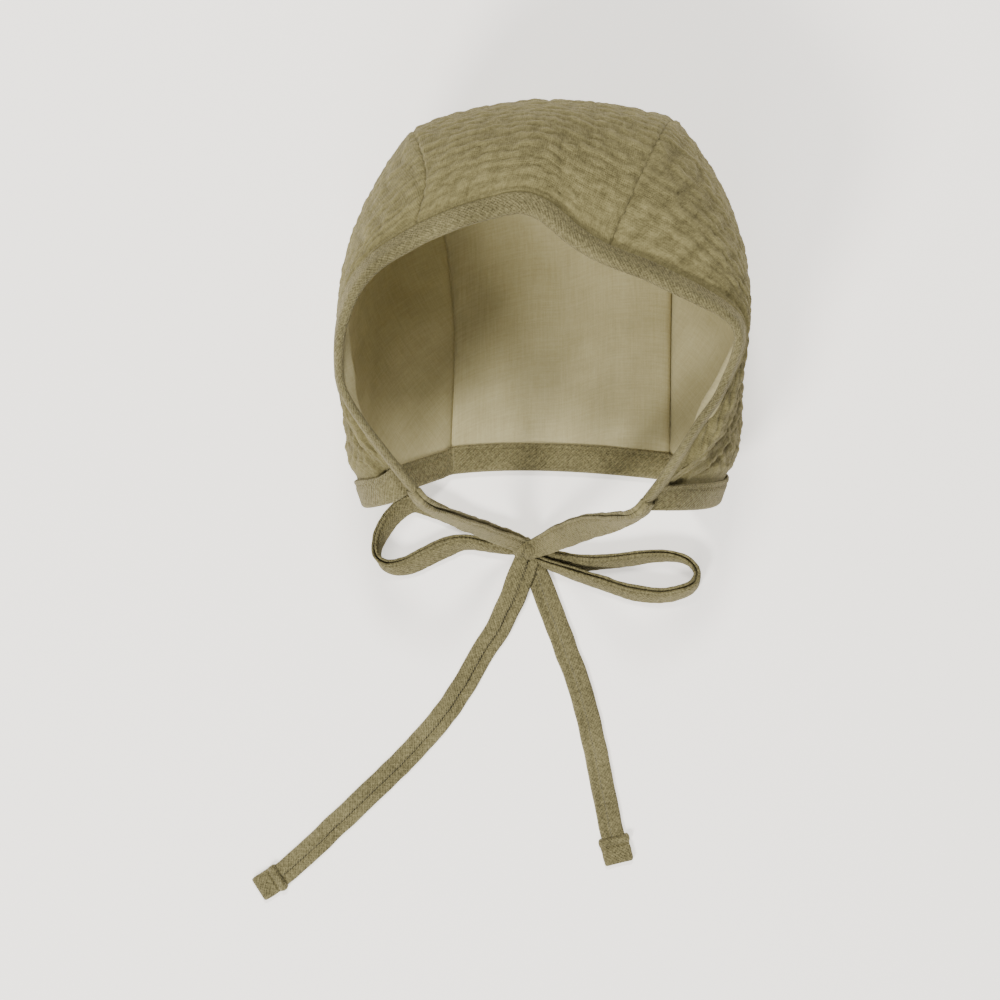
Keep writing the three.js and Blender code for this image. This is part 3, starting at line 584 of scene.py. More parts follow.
# %% Sweep the ties
ties = {}
for tie_name, route, open_side, seed, gape, inset, swell in [
    ("chin_tie_left", CHIN_TIE_LEFT, 1.0, 11, (0.0, 0.25, 0.25), 1.3, 1.5),
    ("chin_tie_right", CHIN_TIE_RIGHT, -1.0, 21, (0.0, 0.05, 0.0), 1.3, 1.5),
    ("bow_loop_left", LOOP_LEFT, -1.0, 31, (0.1, 0.15, 0.1), 1.3, 0.0),
    ("bow_loop_right", LOOP_RIGHT, -1.0, 41, (0.1, 0.2, 0.1), 1.3, 0.0),
    ("tail_left", TAIL_LEFT, 1.0, 51, (0.0, 0.0, 0.0), 2.8, 0.0),
    ("tail_right", TAIL_RIGHT, -1.0, 61, (0.0, 0.0, 0.0), 2.6, 0.0),
]:
    ties[tie_name] = folded_tie(tie_name + "_cloth", route, open_side, seed, gape, inset, swell)
    print(tie_name, "is", round(ties[tie_name]["length"], 1), "mm long")

# %% [markdown]
# ### The folded ends
# At its end a tie is folded over twice and stitched across, which makes a small thick block with a
# ridge where the fold stops. It is the same sweep with a thickness that falls from the ridge.

# %% Folded ends
TIP_THICKNESS = 2.5
TIP_CLEAR = 0.2
TIP_LEFT = {"start": [-79.4, -136.2], "end": [-87.9, -141.6], "width": 9.8}
TIP_RIGHT = {"start": [41.0, -122.1], "end": [43.4, -132.0], "width": 11.0}
TIP_PROFILE = [
    # share of the length, thickness and width as shares of the plain ones
    [0.0, 0.35, 0.94], [0.03, 1.1, 1.0], [0.1, 1.45, 1.05], [0.2, 1.4, 1.05], [0.28, 1.0, 1.0],
    [0.33, 0.74, 0.97], [0.4, 0.98, 0.97], [0.6, 1.0, 0.98], [0.85, 1.08, 0.97], [0.94, 1.0, 0.94],
    [0.985, 0.7, 0.87], [1.0, 0.2, 0.8],
]
TIP_ROWS = 60
TIP_COLUMNS = 30
TIP_BODY = (0.2, 0.9)
# Powers that make the section of an end blunter than a circle, at its sides and on top.
TIP_SIDES = 0.65
TIP_TOP = 0.5
TIP_EDGE_WAVE = (0.35, 3.0, 1.0)
TIP_WAVE = (0.35, 2.2, 2.6)
TIP_ROLL_HEIGHT = 0.3
TIP_ROLL_PLACE = 0.36
TIP_ROLL_WIDTH = 0.9
TIP_ROLL_RISE = 0.5
TIP_STITCH_SHARE = 0.33
TIP_STITCH_COLUMNS = slice(4, 26)


def folded_end(name, tip, seed):
    start = np.array(tip["start"])
    end = np.array(tip["end"])
    size = float(np.linalg.norm(end - start))
    shares = np.linspace(0.0, 1.0, TIP_ROWS)
    place = (shares * size)[:, None]
    direction = np.append((end - start) / size, 0.0)
    profile = np.array(TIP_PROFILE)
    thickness, width = curve_through(profile[:, 0], profile[:, 1:])(shares).T
    thickness = (thickness * TIP_THICKNESS)[:, None]
    angle = np.linspace(0.0, math.pi, TIP_COLUMNS)
    across = -np.sign(np.cos(angle)) * np.abs(np.cos(angle)) ** TIP_SIDES
    across = across * (width * tip["width"])[:, None] / 2.0
    across = across + ripple(TIP_EDGE_WAVE, place, SWAY_LINE, seed + 1)
    rise = np.abs(np.sin(angle)) ** TIP_TOP * thickness / 2.0
    rolled = TIP_ROLL_HEIGHT * bell(np.abs(across), TIP_ROLL_PLACE * tip["width"], TIP_ROLL_WIDTH)
    bumps = ripple(TIP_WAVE, place, across, seed) * smooth_step(rise, *TIP_BODY)
    bumps = bumps + rolled * (rise > TIP_ROLL_RISE)
    centre = np.append(start, TIP_CLEAR) + direction * place
    leaves = []
    for way, relief in ((1.0, bumps), (-1.0, 0.0)):
        point = centre[:, None] + np.cross(UP, direction) * across[..., None]
        point[..., 2] += TIP_THICKNESS / 2.0 + way * rise + relief
        point[..., 2] += (thickness - TIP_THICKNESS) / 2.0
        leaves.append(point)
    on_cloth = np.stack([np.broadcast_to(place, across.shape), across], axis=-1)
    piece = cloth_layer(name, *leaves, on_cloth, TAPE)
    line = leaves[0][int(TIP_STITCH_SHARE * TIP_ROWS), TIP_STITCH_COLUMNS]
    return {"piece": piece, "stitches": (line, np.zeros_like(line) + UP)}


end_left = folded_end("tie_end_left_cloth", TIP_LEFT, 71)
end_right = folded_end("tie_end_right_cloth", TIP_RIGHT, 81)

# %% [markdown]
# ### The knot
# The knot is one turn of the tie pulled tight over the other strands. It is a band that goes round
# them, narrower over the top, with one high fold and one deep crease beside it.

# %% Knot
KNOT_CENTRE = np.array([9.7, -17.9, 5.0])
KNOT_RADII = [3.6, 4.8]
KNOT_WIDTH = 8.6
KNOT_TURN = math.radians(-22.0)
KNOT_STATIONS = 97
KNOT_COLUMNS = 31
KNOT_THICKNESS = 1.3
KNOT_SLANT = 0.9
KNOT_CROWN = 0.3
KNOT_CROWN_POWER = 4.0
KNOT_BEND = 0.12
KNOT_BEND_TURN = 0.8
KNOT_PINCH = 0.16
KNOT_CLOTH_RADIUS = 4.0
KNOT_FOLDS = [
    # height in mm, then place and width as shares of the width
    (0.75, -0.2, 0.16), (-0.8, 0.06, 0.07),
]
KNOT_DRIFT = 0.7
KNOT_DRIFT_ROUND = 1.3
KNOT_DRIFT_ACROSS = 2.0


def wrapped_knot(name, seed):
    angle = np.linspace(0.0, 2.0 * math.pi, KNOT_STATIONS)[:, None]
    across = np.linspace(-0.5, 0.5, KNOT_COLUMNS)[None, :]
    axis = np.array([math.cos(KNOT_TURN), math.sin(KNOT_TURN), 0.0])
    level = np.array([-axis[1], axis[0], 0.0])
    crown = 1.0 - KNOT_CROWN * np.abs(2.0 * across) ** KNOT_CROWN_POWER
    bent = across + KNOT_BEND * np.sin(angle + KNOT_BEND_TURN)
    relief = sum(height * bell(bent, place, width) for height, place, width in KNOT_FOLDS)
    drift_along = np.cos(angle) * KNOT_DRIFT_ROUND + across * KNOT_DRIFT_ACROSS
    relief = relief + KNOT_DRIFT * noise(drift_along, np.sin(angle) * KNOT_DRIFT_ROUND, seed)
    pinch = 1.0 - KNOT_PINCH * (0.5 + 0.5 * np.sin(angle))
    layers = []
    for inset in (0.0, KNOT_THICKNESS):
        out, rise = [(radius - inset) * crown + relief for radius in KNOT_RADII]
        layers.append(
            KNOT_CENTRE
            + axis * (across * KNOT_WIDTH * pinch + KNOT_SLANT * np.cos(angle))[..., None]
            + level * (out * np.cos(angle))[..., None]
            + np.array(UP) * (rise * np.sin(angle))[..., None]
        )
    on_cloth = np.stack(np.broadcast_arrays(angle * KNOT_CLOTH_RADIUS, across * KNOT_WIDTH), axis=-1)
    return cloth_layer(name, *layers, on_cloth, TAPE)


knot = wrapped_knot("bow_knot_wrap", 91)

# %% [markdown]
# ## The shape of the hood
# The hood is one smooth surface with two numbers: t goes from the front edge over the crown to the
# neck edge, and s goes across. A row of the table is a rib of the hood, from the left chin corner
# round to the right one. The dented front edge has its own table, and the cloth eases from it back to
# the plain hood.

# %% Hood tables
CORNER_LEFT = np.array([-28.6, 0.5, 85.0])
CORNER_RIGHT = np.array([48.3, -3.2, 85.0])
RIBS = [
    # t, left seam, middle, right seam, left bulge and its peak, right bulge and its peak
    [0.0, -25, 85.5, 106, 6.5, 94, 107, 34.2, 78.5, 106, -28.5, 1, 0.6, 41.5, -2, 0.68],
    [0.085, -24, 103, 100, 8.5, 112, 101, 44.4, 102, 99.6, -27, 0, 0.54, 36.5, -1, 0.58],
    [0.204, -28.8, 122.4, 78, 11, 130.6, 80, 56.4, 126.7, 77.3, -25.5, 0, 0.45, 31.4, 0, 0.47],
    [0.325, -30, 127.5, 52, 13.5, 137.6, 52, 60.5, 131, 52, -26, 0, 0.44, 29.8, 0, 0.46],
    [0.463, -27.5, 120, 20, 15.5, 131.5, 20, 61.5, 124.5, 20, -27.5, 0, 0.45, 30, 0, 0.46],
    [0.56, -23.5, 105, 4, 18, 115, 3.5, 62.3, 108, 4, -29, 0, 0.48, 29.5, 0, 0.48],
    [0.645, -19.6, 88, 0, 20, 95, 0, 63.2, 88, 0, -30, 0, 0.48, 29, 0, 0.49],
    [0.81, -17.2, 56, 0, 20.5, 56, 0, 62.7, 56, 0, -29.5, -3, 0.48, 28.5, -2, 0.5],
    [1.0, -18.9, 9, 0, 16.4, 10.5, 0, 62.5, 6.8, 0, -23, -7, 0.48, 21.5, -3.5, 0.46],
]
FRONT_EDGE = {
    "left": [
        [-28.6, 0.5, 85], [-38.7, 13.4, 89.5], [-47.5, 25, 93.5], [-53.8, 36.2, 97.5], [-54.9, 46, 100.5],
        [-53.4, 57.2, 103.5], [-48, 69.1, 105], [-40, 77.4, 106], [-25, 85.5, 106],
    ],
    "middle": [
        [-25, 85.5, 106], [-12.5, 90.3, 106.4], [-2.3, 92.8, 106.8], [6.5, 94, 107], [12.6, 92.3, 106.8],
        [17.8, 88.8, 106.3], [22.2, 85.2, 106], [30.0, 80.4, 106], [34.2, 78.5, 106],
    ],
    "right": [
        [48.3, -3.2, 85], [56.1, 7.2, 89], [61.3, 15.2, 92], [67.3, 24.7, 95], [72.7, 32.3, 96.5],
        [76.4, 40.3, 98], [78.8, 46.7, 100], [79.8, 52.7, 101.5], [77.8, 58.6, 102.5], [72.3, 62.6, 103],
        [65.3, 65.5, 104], [56.5, 69.4, 105], [46.7, 73.9, 105.5], [39.4, 76.5, 106], [34.2, 78.5, 106],
    ],
}
EDGE_TILT = {
    "left": ([0, 0.3, 0.55, 0.75, 1], [80, 86, 84, 62, 38]),
    "middle": ([0, 0.35, 0.5, 0.7, 1], [38, 28, 20, 30, 38]),
    "right": ([0, 0.3, 0.5, 0.62, 0.76, 1], [74, 80, 78, 62, 42, 38]),
}
SIDE_FULLNESS = 2.3
FRONT_BLEND = 0.25
LIP_DEPTH = 4.5
LIP_ROW = (0.1, 0.06)
LIP_START = (0.0, 0.04)
LIP_PLACE = (0.3, 0.18)

# %% Plain hood
rib_table = np.array(RIBS, float)


def along_ribs(columns):
    return curve_through(rib_table[:, 0], rib_table[:, columns])


SEAM = {
    "left": along_ribs(slice(1, 4)), "middle": along_ribs(slice(4, 7)), "right": along_ribs(slice(7, 10)),
}
BULGE = {"left": along_ribs(slice(10, 12)), "right": along_ribs(slice(13, 15))}
PEAK = {"left": along_ribs(12), "right": along_ribs(15)}
CORNER = {"left": CORNER_LEFT, "right": CORNER_RIGHT}
INWARD = {"left": 1.0, "right": -1.0}
FRONT = {part: smooth_route(rows) for part, rows in FRONT_EDGE.items()}
TILT = {part: curve_through(*table) for part, table in EDGE_TILT.items()}


def plain_side(part, t, s):
    bulge = BULGE[part](t)
    power = math.log(0.5) / np.log(PEAK[part](t))
    fullness = 1.0 - np.abs(2.0 * np.maximum(s, 1e-6) ** power - 1.0) ** SIDE_FULLNESS
    lip = LIP_DEPTH * bell(t, *LIP_ROW) * (1.0 - bell(t, *LIP_START)) * bell(s, *LIP_PLACE)
    point = CORNER[part] + (SEAM[part](t) - CORNER[part]) * s[..., None]
    point[..., 0] += bulge[..., 0] * fullness + lip * INWARD[part]
    point[..., 1] += bulge[..., 1] * fullness
    return point


def plain_middle(t, u):
    u = u[..., None]
    left = SEAM["left"](t) * (2.0 * u - 1.0) * (u - 1.0)
    middle = SEAM["middle"](t) * 4.0 * u * (1.0 - u)
    return left + middle + SEAM["right"](t) * u * (2.0 * u - 1.0)


def plain(part, t, s):
    return plain_middle(t, s) if part == "middle" else plain_side(part, t, s)


def dented(part, t, s):
    """The plain hood, moved at its front so that it starts from the dented front edge."""
    point = plain(part, t, s)
    weight = np.clip(1.0 - t / FRONT_BLEND, 0.0, 1.0)[..., None] ** 2
    return point + (FRONT[part](s) - plain(part, np.zeros_like(t), s)) * weight


def rate(part, edge, s):
    """Millimetres of cloth for one unit of t at the front or the neck edge."""
    places = (STEP, 0.0) if edge == "front" else (1.0, 1.0 - STEP)
    ends = [dented(part, np.full_like(s, t), s) for t in places]
    return np.linalg.norm(ends[0] - ends[1], axis=-1) / STEP


# %% [markdown]
# ### Where the panels meet
# Beside the front edge the cloth falls away steeply, square to the edge. Two panels that each follow
# their own direction would gape or cross at the seam, as two boards do at a corner that has no mitre.
# So near a seam each turns its direction halfway towards the other's.

# %% Mitred directions
TILT_REACH = 8.2
TILT_FADE = 24.0
MOST_TILTED = 0.5
EDGE_MITRE = 0.08
NORMAL_MITRE = 0.03
ACROSS_STEP = 0.004
ALONG_STEP = 0.0015


def mitred(part, s, own, direction, width):
    """A part's own directions, turned near a seam so that both panels have the same one there."""
    if part == "middle":
        neighbours = [direction(side, np.ones_like(s)) for side in ("left", "right")]
        beside = np.where((s < 0.5)[..., None], *neighbours)
        near = np.clip(1.0 - np.minimum(s, 1.0 - s) / width, 0.0, 1.0)
    else:
        beside = direction("middle", np.full_like(s, 0.0 if part == "left" else 1.0))
        near = np.clip(1.0 - (1.0 - s) / width, 0.0, 1.0)
    return unit(own + beside * near[..., None])


def across_front(part, s):
    run = FRONT[part](np.clip(s + STEP, 0.0, 1.0)) - FRONT[part](np.clip(s - STEP, 0.0, 1.0))
    turn = -1.0 if part == "right" else 1.0
    return unit(np.stack([-run[..., 1] * turn, run[..., 0] * turn, np.zeros(run.shape[:-1])], axis=-1))


def hood_point(part, t, s):
    """A point of the hood: steep beside the front edge, then easing back to the dented hood."""
    t, s = np.broadcast_arrays(np.asarray(t, float), np.asarray(s, float))
    per_t = rate(part, "front", s)
    tape_end = np.minimum(TILT_REACH / per_t, MOST_TILTED)
    tilt = np.radians(TILT[part](s))
    run = mitred(part, s, across_front(part, s), across_front, EDGE_MITRE) * np.cos(tilt)[..., None]
    run[..., 2] -= np.sin(tilt)
    edge = FRONT[part](s)
    near = edge + run * (t * per_t)[..., None]
    shift = edge + run * (tape_end * per_t)[..., None] - dented(part, tape_end, s)
    weight = np.clip(1.0 - (t - tape_end) / (TILT_FADE / per_t), 0.0, 1.0)[..., None] ** 2
    return np.where((t <= tape_end)[..., None], near, dented(part, t, s) + shift * weight)


def outward(part, t, s):
    """The direction out of the hood, mitred at the seams."""
    t, s = np.broadcast_arrays(np.asarray(t, float), np.asarray(s, float))

    def normal(which, where):
        right = hood_point(which, t, np.minimum(where + ACROSS_STEP, 1))
        left = hood_point(which, t, np.maximum(where - ACROSS_STEP, 0))
        after = hood_point(which, np.minimum(t + ALONG_STEP, 1), where)
        before = hood_point(which, np.maximum(t - ALONG_STEP, 0), where)
        return unit(np.cross(right - left, after - before)) * (-1.0 if which == "right" else 1.0)

    return mitred(part, s, normal(part, s), normal, NORMAL_MITRE)


# %% Distances on the cloth
EDGE_T = {"front": 0.0, "neck": 1.0}


def reach(part, t, s):
    """How far a place is from its chin corner, which is endless for the middle panel."""
    if part == "middle":
        return np.full(np.broadcast(t, s).shape, np.inf)
    return np.linalg.norm(hood_point(part, t, s) - CORNER[part], axis=-1)


def edge_distance(part, edge, t, s):
    """How far a place is from the front or the neck edge, on the cloth."""
    run = (t if edge == "front" else 1.0 - t) * rate(part, edge, s)
    if part == "middle":
        return run
    radius = reach(part, np.full_like(s, EDGE_T[edge]), s)
    return radius * np.sin(np.minimum(run / radius, math.pi / 2.0))


def place_from_edge(part, edge, s, distance):
    """The t and s of a place this far in from an edge, square to it."""
    per_t = rate(part, edge, s)
    if part == "middle":
        steps = distance / per_t
        across = s + np.zeros_like(steps)
    else:
        radius = reach(part, np.full_like(s, EDGE_T[edge]), s)
        steps = np.arctan2(distance, radius) * radius / per_t
        across = np.minimum(s * (1.0 + (np.hypot(1.0, distance / radius) - 1.0) * (1.0 - s)), 1.0)
    return (steps if edge == "front" else 1.0 - steps), across


SIZE = {part: float(np.linalg.norm(FRONT[part](1.0) - CORNER[part])) for part in ("left", "right")}
print("front edge, corner to seam:", {part: round(size) for part, size in SIZE.items()})

# %% [markdown]
# ## The cloth panels
# A panel is the hood's surface as a fine grid, given a thickness. Double gauze is two thin layers
# caught together every few millimetres, so it puffs up into short crooked ridges with creases between
# them, about 4 mm apart. They could be bump in the material, but then the outline of the bonnet would
# be smooth, so the grid itself is fine enough to carry them. The folds are the absolute value of a
# bent sine, round on top and sharp in the creases, and noise makes some of them higher than others.

# %% Cloth depths and crinkle
TAPE_TOTAL = 4.4
MUSLIN_DEPTHS = {"free": (0.25, 1.5), "pressed": (1.1, 2.1)}
LINING_DEPTHS = {"free": (1.9, 2.8), "pressed": (2.45, 3.0)}
LEG = {"front": 7.0, "neck": 10.0}
EASE = {"front": 3.5, "neck": 6.0}
TAPE_CLEAR = 0.6
CORNER_EASE = (12.0, 22.0)
MIDDLE_PINCH = 0.94
CORNER_PINCH = 0.64
PINCH_EASE = (34.0, 76.0)
RIDGE_SPACING = 3.8
RIDGE_ROUNDNESS = 0.65
GATHER_SPACING = 9.0
GATHER_ROUNDNESS = 0.5
MEAN_GATHER = 0.76
MEAN_CRINKLE = 0.44
MEAN_PUFF = 0.8
RIDGES = 0.68
SMALL = 0.3
WIDE_WANDER = (1.7, 16.0, 12.0)
TIGHT_WANDER = (1.3, 4.2, 4.4)
PUFFS = (1.5, 4.2, 3.8)
SMALL_FOLDS = (1.0, 3.0, 1.6)
GATHER_WANDER = (2.4, 9.0, 8.0)


def pinched(depth, part, s):
    """A depth in the pressed cloth and its tape, which are thinnest towards a chin corner."""
    share = MIDDLE_PINCH
    if part != "middle":
        rise = MIDDLE_PINCH - CORNER_PINCH
        share = CORNER_PINCH + rise * smooth_step(s * SIZE[part], *PINCH_EASE)
    return TAPE_TOTAL / 2.0 + (depth - TAPE_TOTAL / 2.0) * share


def crinkle(along, across, seed, gathers):
    wander = ripple(WIDE_WANDER, along, across, seed) + ripple(TIGHT_WANDER, along, across, seed + 1)
    rows = across + wander
    puffs = MEAN_PUFF + ripple(PUFFS, along, rows, seed + 2)
    ridges = np.abs(np.sin(math.pi * rows / RIDGE_SPACING)) ** RIDGE_ROUNDNESS * puffs
    small = np.abs(ripple(SMALL_FOLDS, along, rows, seed + 3))
    columns = along + ripple(GATHER_WANDER, along, across, seed + 4)
    crossing = np.abs(np.sin(math.pi * columns / GATHER_SPACING)) ** GATHER_ROUNDNESS
    return RIDGES * ridges + SMALL * small + gathers * (crossing - MEAN_GATHER) - MEAN_CRINKLE


# %% [markdown]
# ### The grid of a panel
# Each panel reaches under both tapes, to 1.5 mm from their folds, and a little past its seam, so that
# no light comes through between two panels. At a chin corner the panels narrow to a point, so there
# the grid starts a little way in, still under the tapes.

# %% Panel grids
CLOTH_INSIDE_FOLD = 1.5
SEAM_OVERLAP = 0.2
MITRE_START = 0.3
MITRE_WIDTH = 3.0
FRONT_WIDTH = 74.0
CROWN_WIDTH = 75.0
PANEL_LENGTH = 242.0
CORNER_START = 6.5
SIDE_STRETCH = 1.12
MOST_TURNED = 0.96
FAN_ANGLE = 2.15


def panel_grid(part, spacing):
    """Grids of t and s over one panel, tucked into both tapes and a little past its seams."""
    if part == "middle":
        past = SEAM_OVERLAP / 2.0 / CROWN_WIDTH
        columns = np.linspace(-past, 1.0 + past, int(FRONT_WIDTH / spacing))
        tucks = [CLOTH_INSIDE_FOLD / rate(part, edge, columns) for edge in EDGE_T]
    else:
        size = SIZE[part]
        last = 1.0 + SEAM_OVERLAP / 2.0 / size
        columns = np.linspace(CORNER_START / size, last, int(size * SIDE_STRETCH / spacing))
        tucks = []
        for edge, t in EDGE_T.items():
            radius = reach(part, np.full_like(columns, t), columns)
            turn = np.arcsin(np.minimum(CLOTH_INSIDE_FOLD / radius, MOST_TURNED)) * radius
            tucks.append(turn / rate(part, edge, columns))
    start, end = tucks
    shares = np.linspace(0.0, 1.0, int(PANEL_LENGTH / spacing))[:, None]
    return start + (1.0 - end - start) * shares, np.broadcast_to(columns, (len(shares), len(columns)))


def seam_distance(part, s):
    return np.minimum(s, 1.0 - s) * FRONT_WIDTH if part == "middle" else (1.0 - s) * SIZE[part]


def grid_normals(part, t, s, points):
    """The grid's normals, turned at the seams so that both panels use the same ones."""
    down = np.gradient(points, axis=0)
    over = np.gradient(points, axis=1)
    normals = unit(np.cross(over, down)) * (-1.0 if part == "right" else 1.0)
    from_seam = seam_distance(part, s[0])
    near = np.flatnonzero(from_seam < MITRE_WIDTH)
    share = (1.0 - smooth_step(from_seam[near], MITRE_START, MITRE_WIDTH))[None, :, None]
    at_seam = outward(part, t[:, near], np.clip(s[:, near], 0.0, 1.0))
    normals[:, near] = unit(normals[:, near] * (1.0 - share) + at_seam * share)
    return normals


def lengths_along(points, axis):
    """How far each point of a grid has come along its rows or columns."""
    steps = np.linalg.norm(np.diff(points, axis=axis), axis=-1)
    return np.insert(np.cumsum(steps, axis=axis), 0, 0.0, axis=axis)


def flat_places(part, points, t):
    """Where each point was on the flat cloth, in mm: along the crinkles, then across them."""
    over = lengths_along(points, 1)
    if part == "middle":
        return np.stack([over - over[:, -1:] / 2.0, lengths_along(points, 0)], axis=-1)
    fan = t * FAN_ANGLE
    over = over + CORNER_START
    return np.stack([over * np.cos(fan), over * np.sin(fan)], axis=-1)


def pressed_share(part, t, s):
    """1 where the cloth is pressed, under a tape or at a chin corner, and 0 where it is free."""
    pressed = 1.0 - smooth_step(reach(part, t, s), *CORNER_EASE)
    for edge in EDGE_T:
        end = LEG[edge] + TAPE_CLEAR
        under = 1.0 - smooth_step(edge_distance(part, edge, t, s), end, end + EASE[edge])
        pressed = np.maximum(pressed, under)
    return pressed


def panel_base(part, spacing, layer):
    """What muslin and lining share: the grid, its normals, and how deep the layer lies in the cloth."""
    t, s = panel_grid(part, spacing)
    base = hood_point(part, t, s)
    pressed = pressed_share(part, t, s)
    depths = [
        free + (pinched(deep, part, s) - free) * pressed
        for free, deep in zip(layer["free"], layer["pressed"])
    ]
    return t, s, base, grid_normals(part, t, s, base), flat_places(part, base, t), pressed, depths


# %% [markdown]
# ### Outer panels
# Beside the front tape the gauze is pressed into a narrow roll with a dark groove outside it. At a
# seam both edges turn down into the stitches. A crease runs up from the dent beside the brow.

# %% Muslin panels
ROLL_START = 7.1
ROLL_WIDTH = 1.8
ROLL_HEIGHT = 0.6
ROLL_WAVE = (0.12, 2.2, 8.0)
LEAST_ROLL = 0.05
GROOVE_DEPTH = 0.5
GROOVE_PLACE = (9.2, 0.45)
CURL_WIDTH = 1.3
BROW_DEPTH = 0.8
BROW_PLACE = (0.67, 0.03)
BROW_START = (0.0, 0.02)
BROW_END = (0.0, 0.2)
MUSLIN_SPACING = {"left": 0.74, "middle": 0.66, "right": 0.74}
GATHERS = {"left": 0.4, "middle": 0.25, "right": 0.6}


def muslin_panel(name, part, seed):
    t, s, base, normals, flat, pressed, depths = panel_base(part, MUSLIN_SPACING[part], MUSLIN_DEPTHS)
    front = edge_distance(part, "front", t, s)
    folds = crinkle(flat[..., 0], flat[..., 1], seed, GATHERS[part]) * (1.0 - pressed)
    roll = ROLL_HEIGHT * np.sin(math.pi * np.clip((front - ROLL_START) / ROLL_WIDTH, 0.0, 1.0))
    roll += ripple(ROLL_WAVE, flat[..., 0], flat[..., 1], seed + 9) * (roll > LEAST_ROLL)
    groove = GROOVE_DEPTH * bell(front, *GROOVE_PLACE)
    crease = 0.0
    if part == "middle":
        crease = BROW_DEPTH * bell(s, *BROW_PLACE) * (1.0 - smooth_step(t, *BROW_END))
        crease = crease * smooth_step(t, *BROW_START)
    curl = np.clip(1.0 - seam_distance(part, s) / CURL_WIDTH, 0.0, 1.0) ** 2
    relief = folds + roll - groove - curl - crease
    outer = base + normals * (relief - depths[0])[..., None]
    inner = base - normals * depths[1][..., None]
    # the height of the folds goes to the material as painted shade in the creases and painted highlight
    # on the ridges
    return cloth_layer(name, outer, inner, flat, GAUZE, folds)


muslins = {
    "crown_panel": muslin_panel("crown_panel_gauze", "middle", 101),
    "side_panel_left": muslin_panel("side_panel_left_gauze", "left", 201),
    "side_panel_right": muslin_panel("side_panel_right_gauze", "right", 301),
}

# %% [markdown]
# ### Lining
# The lining is smooth, so its grid may be coarser. It sags a little between its seams and dips at
# them. Each side panel bends in behind its bulging front edge, and the centre panel has a fold along
# the right seam and a pucker at the nape, where the neck band gathers it.

# %% Lining panels
LINING_SPACING = 1.2
SAG = (0.7, 26.0, 18.0)
SMALL_SAG = (0.25, 8.0, 7.0)
SAG_DEPTH = 0.4
SAG_EASE = (0.2, 3.0)
SEAM_DIP = {"left": 0.2, "right": 0.4}
SEAM_DIP_EASE = (0.0, 1.2)
BEND_DEPTH = 2.6
BEND_ALONG = (0.34, 0.17)
BEND_FROM_FRONT = (14.0, 4.0)
SEAM_FOLD = (0.76, 0.82)
FOLD_PRESSED = 0.7
NAPE_HEIGHT = 1.6
NAPE_PLACE = (0.37, 0.03)
NAPE_START = (9.5, 13.0)
NAPE_END = (13.0, 24.0)


def lining_panel(name, part, seed):
    t, s, base, normals, flat, pressed, depths = panel_base(part, LINING_SPACING, LINING_DEPTHS)
    if part == "middle":
        dip = np.where(s < 0.5, SEAM_DIP["left"], SEAM_DIP["right"])
        neck = edge_distance(part, "neck", t, s)
        pucker = NAPE_HEIGHT * bell(s, *NAPE_PLACE) * smooth_step(neck, *NAPE_START)
        pucker = pucker * (1.0 - smooth_step(neck, *NAPE_END))
        bend = (smooth_step(s, *SEAM_FOLD) + pucker) * (1.0 - pressed * FOLD_PRESSED)
    else:
        dip = SEAM_DIP[part]
        front = edge_distance(part, "front", t, s)
        bend = BEND_DEPTH * bell(s, *BEND_ALONG) * bell(front, *BEND_FROM_FRONT)
    from_seam = seam_distance(part, s)
    sag = ripple(SAG, flat[..., 0], flat[..., 1], seed)
    sag += ripple(SMALL_SAG, flat[..., 0], flat[..., 1], seed + 1)
    sag = (sag * (1.0 - pressed) + SAG_DEPTH) * smooth_step(from_seam, *SAG_EASE)
    sag -= dip * (1.0 - smooth_step(from_seam, *SEAM_DIP_EASE))
    outer = base - normals * (depths[0] + bend)[..., None]
    inner = base - normals * (depths[1] + sag + bend)[..., None]
    return cloth_layer(name, inner, outer, flat, LINING)


linings = {
    "lining_centre": lining_panel("lining_centre_cotton", "middle", 401),
    "lining_left": lining_panel("lining_left_cotton", "left", 501),
    "lining_right": lining_panel("lining_right_cotton", "right", 601),
}

# %% [markdown]
# ## The tapes
# A tape is folded over the edge of the cloth and stitched through, one leg outside and one inside.
# The section goes from the end of the outer leg round the fold to the end of the inner leg. The end of
# each leg is turned under, so it has a round edge, and the neck band dips at its stitch line.

# %% Tape section
TAPE_THICKNESS = 0.9
FOLD_RADIUS = {"front": 2.0, "neck": 1.8}
LEG_PROFILE = [
    # mm back from the end of the leg, depth
    [0.0, 0.6], [0.1, 0.3], [0.35, 0.08], [0.9, -0.05], [1.9, 0.0], [2.6, 0.02], [2.9, -0.1],
]
# Points of the section: where the leg lies flat behind its round end, the stitches, and its middle.
LEG_END = 3
STITCH_PLACE = 4
LEG_MIDDLE = 9
STITCH_DIP = {"front": 0.0, "neck": 0.35}
TURNED_UNDER = 0.85
LEG_STEPS = 5
FOLD_POINTS = 8


